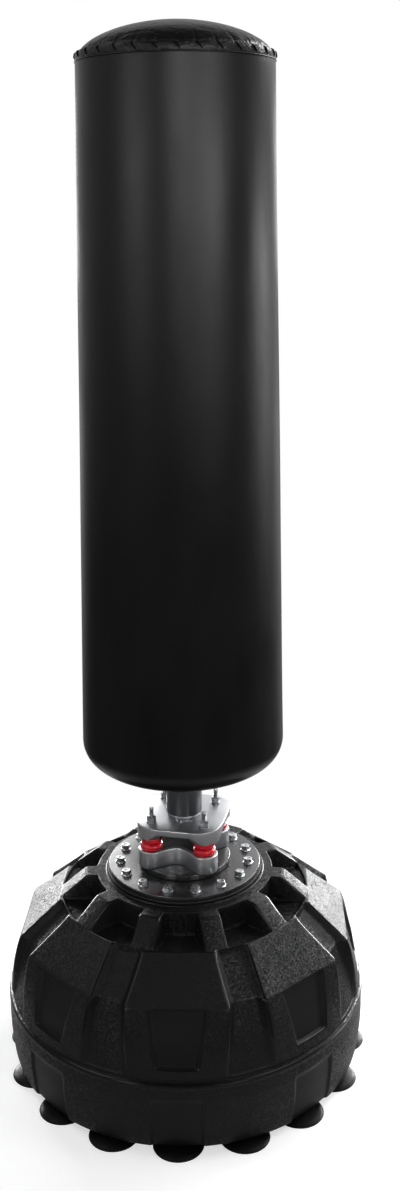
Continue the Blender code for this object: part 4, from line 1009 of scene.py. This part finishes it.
# Cover: a sleeve of coated fabric, sewn to a round bottom and drawn tight over the foam. It keeps a
# faint slackness from the hand sewing.
# Coated fabric: black and satin, with a leather grain of about 1 mm over long soft unevenness.
coated, tree, shader, place = material_of(
    "coated_fabric", Base_Color=linear("#0a0a0b"), Roughness=0.36, Specular_IOR_Level=0.25, IOR=1.5)
creep = add(tree, "ShaderNodeMapping", {"Vector": place, "Scale": (1.0, 1.0, 0.35)})
leather = add(tree, "ShaderNodeTexVoronoi", {"Vector": place, "Scale": 900.0, "Smoothness": 0.5},
              feature="SMOOTH_F1")
folds = add(tree, "ShaderNodeTexNoise", {"Vector": creep, "Scale": 16.0, "Detail": 3.0})
satin = add(tree, "ShaderNodeMapRange", {0: folds.outputs["Fac"], 1: 0.3, 2: 0.7, 3: 0.31, 4: 0.41})
slack = add(tree, "ShaderNodeBump", {
    "Strength": 0.22, "Distance": 0.004, "Height": folds.outputs["Fac"]})
bumps = add(tree, "ShaderNodeBump", {
    "Strength": 0.22, "Distance": 0.0004, "Height": leather.outputs["Distance"], "Normal": slack})
wire(tree, shader, Roughness=satin, Normal=bumps)

# A section drawn as a row of points, turned about the axis and left a little slack by noise.
turned_sleeve, given = geometry_tree(
    "turned_sleeve", Steps_Round="Int", Section_Points="Int", Slack="Float", Slack_Size="Float",
    Seed="Float", Finish="Material")
tree = turned_sleeve
across = add(tree, "ShaderNodeMath", {0: given["Steps_Round"], 1: 1.0}, operation="ADD")
grid = add(tree, "GeometryNodeMeshGrid", {
    "Vertices X": across, "Vertices Y": given["Section_Points"]})
index = add(tree, "GeometryNodeInputIndex")
here = add(tree, "GeometryNodeInputPosition")
level = add(tree, "ShaderNodeMath", {0: index, 1: given["Section_Points"]}, operation="MODULO")
column = add(tree, "ShaderNodeMath", {0: index, 1: given["Section_Points"]}, operation="DIVIDE")
column = add(tree, "ShaderNodeMath", {0: column}, operation="FLOOR")
drawn = add(tree, "GeometryNodeSampleIndex", {
    "Geometry": given["Geometry"], "Value": here, "Index": level}, data_type="FLOAT_VECTOR")
drawn = add(tree, "ShaderNodeSeparateXYZ", {0: drawn})
step = add(tree, "ShaderNodeMath", {0: math.tau, 1: given["Steps_Round"]}, operation="DIVIDE")
angle = add(tree, "ShaderNodeMath", {0: column, 1: step}, operation="MULTIPLY")
sine = add(tree, "ShaderNodeMath", {0: angle}, operation="SINE")
cosine = add(tree, "ShaderNodeMath", {0: angle}, operation="COSINE")
x = add(tree, "ShaderNodeMath", {0: drawn.outputs["X"], 1: sine}, operation="MULTIPLY")
y = add(tree, "ShaderNodeMath", {0: drawn.outputs["X"], 1: cosine}, operation="MULTIPLY")
y = add(tree, "ShaderNodeMath", {0: y, 1: -1.0}, operation="MULTIPLY")
round_spot = add(tree, "ShaderNodeCombineXYZ", {"X": x, "Y": y, "Z": drawn.outputs["Z"]})
sleeve = add(tree, "GeometryNodeSetPosition", {
    "Geometry": grid.outputs["Mesh"], "Position": round_spot})
sleeve = add(tree, "GeometryNodeMergeByDistance", {"Geometry": sleeve, "Distance": 0.00001})
longer = add(tree, "ShaderNodeVectorMath", {0: here, 1: (1.0, 1.0, 0.4)}, operation="MULTIPLY")
size = add(tree, "ShaderNodeMath", {0: 1.0, 1: given["Slack_Size"]}, operation="DIVIDE")
lie = add(tree, "ShaderNodeTexNoise", {
    "Vector": longer, "W": given["Seed"], "Scale": size, "Detail": 1.0}, noise_dimensions="4D")
lie = add(tree, "ShaderNodeMath", {0: lie.outputs[0], 1: 0.5}, operation="SUBTRACT")
lie = add(tree, "ShaderNodeMath", {0: lie, 1: given["Slack"]}, operation="MULTIPLY")
lie = add(tree, "ShaderNodeVectorMath", {
    0: add(tree, "GeometryNodeInputNormal"), "Scale": lie}, operation="SCALE")
sleeve = add(tree, "GeometryNodeSetPosition", {"Geometry": sleeve, "Offset": lie})
sleeve = add(tree, "GeometryNodeSetShadeSmooth", {"Geometry": sleeve})
add(tree, "NodeGroupOutput", {"Geometry": add(
    tree, "GeometryNodeSetMaterial", {"Geometry": sleeve, "Material": given["Finish"]})})

COVER_WALL, HOLE_R = 0.003, POST_R + 0.0032
outer, inner = (side_section(gap, HOLE_R + 0.0008) for gap in (0.0, COVER_WALL))
section = outer + [(HOLE_R, BAG_LOW_Z + 0.0008), (HOLE_R, BAG_LOW_Z + 0.0022)]
section += inner[::-1] + outer[:1]
mesh = bpy.data.meshes.new("cover_section")
mesh.from_pydata([(r, 0, z) for r, z in section], [], [])
cover = bpy.data.objects.new("bag_sleeve", mesh)
bpy.context.scene.collection.objects.link(cover)
grow(cover, turned_sleeve, Steps_Round=220, Section_Points=len(section),
     Slack=0.0022, Slack_Size=0.16, Seed=3.0, Finish=coated)
bm = bmesh.new()
bm.from_mesh(cover.data)
bmesh.ops.recalc_face_normals(bm, faces=bm.faces)
bm.to_mesh(cover.data)
bm.free()
dress(cover, "bag", "black_coated_fabric", "bag_cover")

# Top cap: a glossier piece of the same fabric, gathered over the dome by a lace. A hem band stands
# over the seam; a whipped stitch at each of thirty holes pulls its edge down and creases the dome.
# Glossy coated fabric: black, with the same leather grain, crumpled in folds of about 14 mm.
glossy, tree, shader, place = material_of(
    "glossy_coated_fabric", Base_Color=linear("#0b0b0c"), Roughness=0.38,
    Specular_IOR_Level=0.25, IOR=1.5)
leather = add(tree, "ShaderNodeTexVoronoi", {"Vector": place, "Scale": 900.0, "Smoothness": 0.5},
              feature="SMOOTH_F1")
crumple = add(tree, "ShaderNodeTexNoise", {
    "Vector": place, "Scale": 70.0, "Detail": 4.0, "Distortion": 1.2})
crease = add(tree, "ShaderNodeBump", {
    "Strength": 0.5, "Distance": 0.004, "Height": crumple.outputs["Fac"]})
bumps = add(tree, "ShaderNodeBump", {
    "Strength": 0.2, "Distance": 0.0004, "Height": leather.outputs["Distance"], "Normal": crease})
wire(tree, shader, Normal=bumps)

HOLES, FIRST_HOLE, HEM_FOOT, HEM_LOW, HEM_HIGH = 30, math.radians(3), 0.0004, 0.0135, 0.0162
COLUMNS = 24 * HOLES


def off_hole(turn):
    """0 at a hole and 1 halfway to the next."""
    return abs(math.sin((turn - FIRST_HOLE) * HOLES / 2))


def hem_edge(turn):
    """Height of the hem's edge over the seam: it arches between the stitches."""
    return HEM_LOW + (HEM_HIGH - HEM_LOW) * off_hole(turn) ** 0.8


def stand_off(turn, height):
    """How far the hem stands off the dome: nearly upright, less so where a stitch holds it."""
    upright = float(crown_r(np.array(HEM_FOOT)) - crown_r(np.array(height)))
    return 0.75 * (0.65 + 0.35 * off_hole(turn) ** 0.6) * upright


def crown_point(turn, height, out):
    """A point on the dome, moved out from its face."""
    radius = float(crown_r(np.array(height))) + out
    return Vector((radius * math.sin(turn), -radius * math.cos(turn), SEAM_Z + height))


# The hem band: rings up its outside, over its edge and down its inside, each a share of its height
# and a distance out. It puffs out a little between the stitches.
bm = bmesh.new()
rings = []
for share, out in (
    (0.0, -0.0004), (0.0, 0.0002), (0.15, 0.0006), (0.4, 0.0008), (0.7, 0.0008), (0.9, 0.0007),
    (0.98, 0.0004), (1.0, -0.0002), (0.98, -0.0008), (0.9, -0.0012), (0.6, -0.0014), (0.0, -0.0014),
):
    ring = []
    for i in range(COLUMNS):
        turn = math.tau * i / COLUMNS
        height = HEM_FOOT + share * (hem_edge(turn) - HEM_FOOT)
        puff = 0.75 * math.sin(math.pi * share) * off_hole(turn) * max(out, 0)
        ring.append(bm.verts.new(crown_point(turn, height, out + puff + stand_off(turn, height))))
    rings.append(ring)
skin_over(bm, rings, closed=True)
dress(piece_of(bm, "cap_hem_band", glossy, 60), "bag", "black_coated_fabric")

# The crown: tucked in under the hem, with a crease that wanders up from each hole and dies away, a
# swell just over the hem, and the ridges of crumpled fabric above it.
CROWN_LOW, CROWN_TOP, CROWN_ROWS = 0.006, DOME_H - 0.0012, 56
TUCK, CREASE, CREASE_WIDTH, WANDER, RIDGE, SWELL = 0.0019, 0.0021, 0.0022, 0.006, 0.0010, 0.0006
bm = bmesh.new()
rings = []
for j in range(CROWN_ROWS):
    share = j / CROWN_ROWS
    height = CROWN_LOW + (CROWN_TOP - CROWN_LOW) * math.sin(math.pi / 2 * share) ** 1.15
    ring = []
    for i in range(COLUMNS):
        turn = math.tau * i / COLUMNS
        over = height - hem_edge(turn)
        reach = max(0.0, over)
        hole = (turn - FIRST_HOLE) * HOLES / math.tau
        beside = (hole - round(hole)) * math.tau / HOLES * BAG_R
        spot = crown_point(turn, height, 0)
        beside += WANDER * noise.noise(spot * 55) * min(1, reach / 0.02)
        crease = CREASE * math.exp(-(beside / (CREASE_WIDTH + 0.10 * reach)) ** 2 - reach / 0.014)
        fold = noise.noise(Vector((spot.x * 26 + 3.1, spot.y * 26 + 0.7, spot.z * 40 + 1.9)))
        ridge = 1 - 2.4 * abs(fold)
        ridge = RIDGE * max(0.0, ridge) ** 3 * min(1, reach / 0.006)
        swell = SWELL * math.exp(-((over - 0.006) / 0.004) ** 2)
        out = -0.0008 - TUCK * math.exp(-reach / 0.0035) - crease - ridge + swell
        ring.append(bm.verts.new(crown_point(turn, height, out)))
    rings.append(ring)
rings.append([bm.verts.new((0, 0, SEAM_Z + CROWN_TOP))] * COLUMNS)
skin_over(bm, rings)
dress(piece_of(bm, "cap_crown", glossy, 80), "bag", "black_coated_fabric", "top_cap")

# Piping: a thin welt of the cover's fabric folded round a cord, and sewn into the seam between the
# cover and the cap.
WELT_R, WELT_SIDES = 0.0013, 12
turns = [math.tau * i / WELT_SIDES for i in range(WELT_SIDES)]
bm = bmesh.new()
turn_on_axis(bm, [
    (BAG_R + 0.0005 + WELT_R * math.cos(t), SEAM_Z + WELT_R * math.sin(t)) for t in turns
], 240, closed=True)
dress(piece_of(bm, "seam_welt", coated), "bag", "black_coated_fabric", "seam_piping")

# Lace: a braided cord whipped over the hem, seen as one short slanting stitch at each hole. Between
# the stitches it runs inside the hem.
# Braided polyester: matt black, with strands that slant about 1.4 mm apart.
braid, tree, shader, place = material_of(
    "braided_polyester", Base_Color=linear("#060607"), Roughness=0.7, Specular_IOR_Level=0.1)
strands = add(tree, "ShaderNodeTexWave", {"Vector": place, "Scale": 260.0, "Distortion": 1.0},
              bands_direction="DIAGONAL")
bumps = add(tree, "ShaderNodeBump", {
    "Strength": 0.6, "Distance": 0.0003, "Height": strands.outputs["Fac"]})
wire(tree, shader, Normal=bumps)

# The stitch's route from its foot up and over the edge: a share of its lean, a height, a distance
# out, and how far it follows the hem as that stands off.
LACE_R, LACE_SIDES, LEAN = 0.0014, 10, math.radians(2.2)
route = [crown_point(LEAN * lean, height, out + follow * stand_off(FIRST_HOLE, height))
         for lean, height, out, follow in (
             (1.10, 0.0042, -0.0012, 1), (1.02, 0.0050, 0.0006, 1), (0.92, 0.0062, 0.0018, 1),
             (0.6, 0.0090, 0.0021, 1), (0.25, 0.0118, 0.0021, 1), (0.02, 0.0137, 0.0018, 1),
             (-0.08, 0.0148, 0.0004, 0.8), (-0.14, 0.0150, -0.0016, 0.4),
             (-0.16, 0.0142, -0.0030, 0))]
turns = [math.tau * k / LACE_SIDES for k in range(LACE_SIDES)]
bm = bmesh.new()
rings = []
for i, here in enumerate(route):
    along = (route[min(i + 1, len(route) - 1)] - route[max(i - 1, 0)]).normalized()
    side = along.cross(Vector((0, -1, 0.2))).normalized()
    out = side.cross(along)
    rings.append([bm.verts.new(here + LACE_R * (side * math.cos(t) + out * math.sin(t)))
                  for t in turns])
skin_over(bm, rings, ends=(0, -1))
stitches = grow(piece_of(bm, "lace_stitches", braid, 60), round_the_axis,
                Count=HOLES, First_Angle=FIRST_HOLE, Finish=braid)
dress(stitches, "bag", "black_coated_fabric", "lace")

# The box round every piece shown, the floor left out.
low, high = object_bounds()
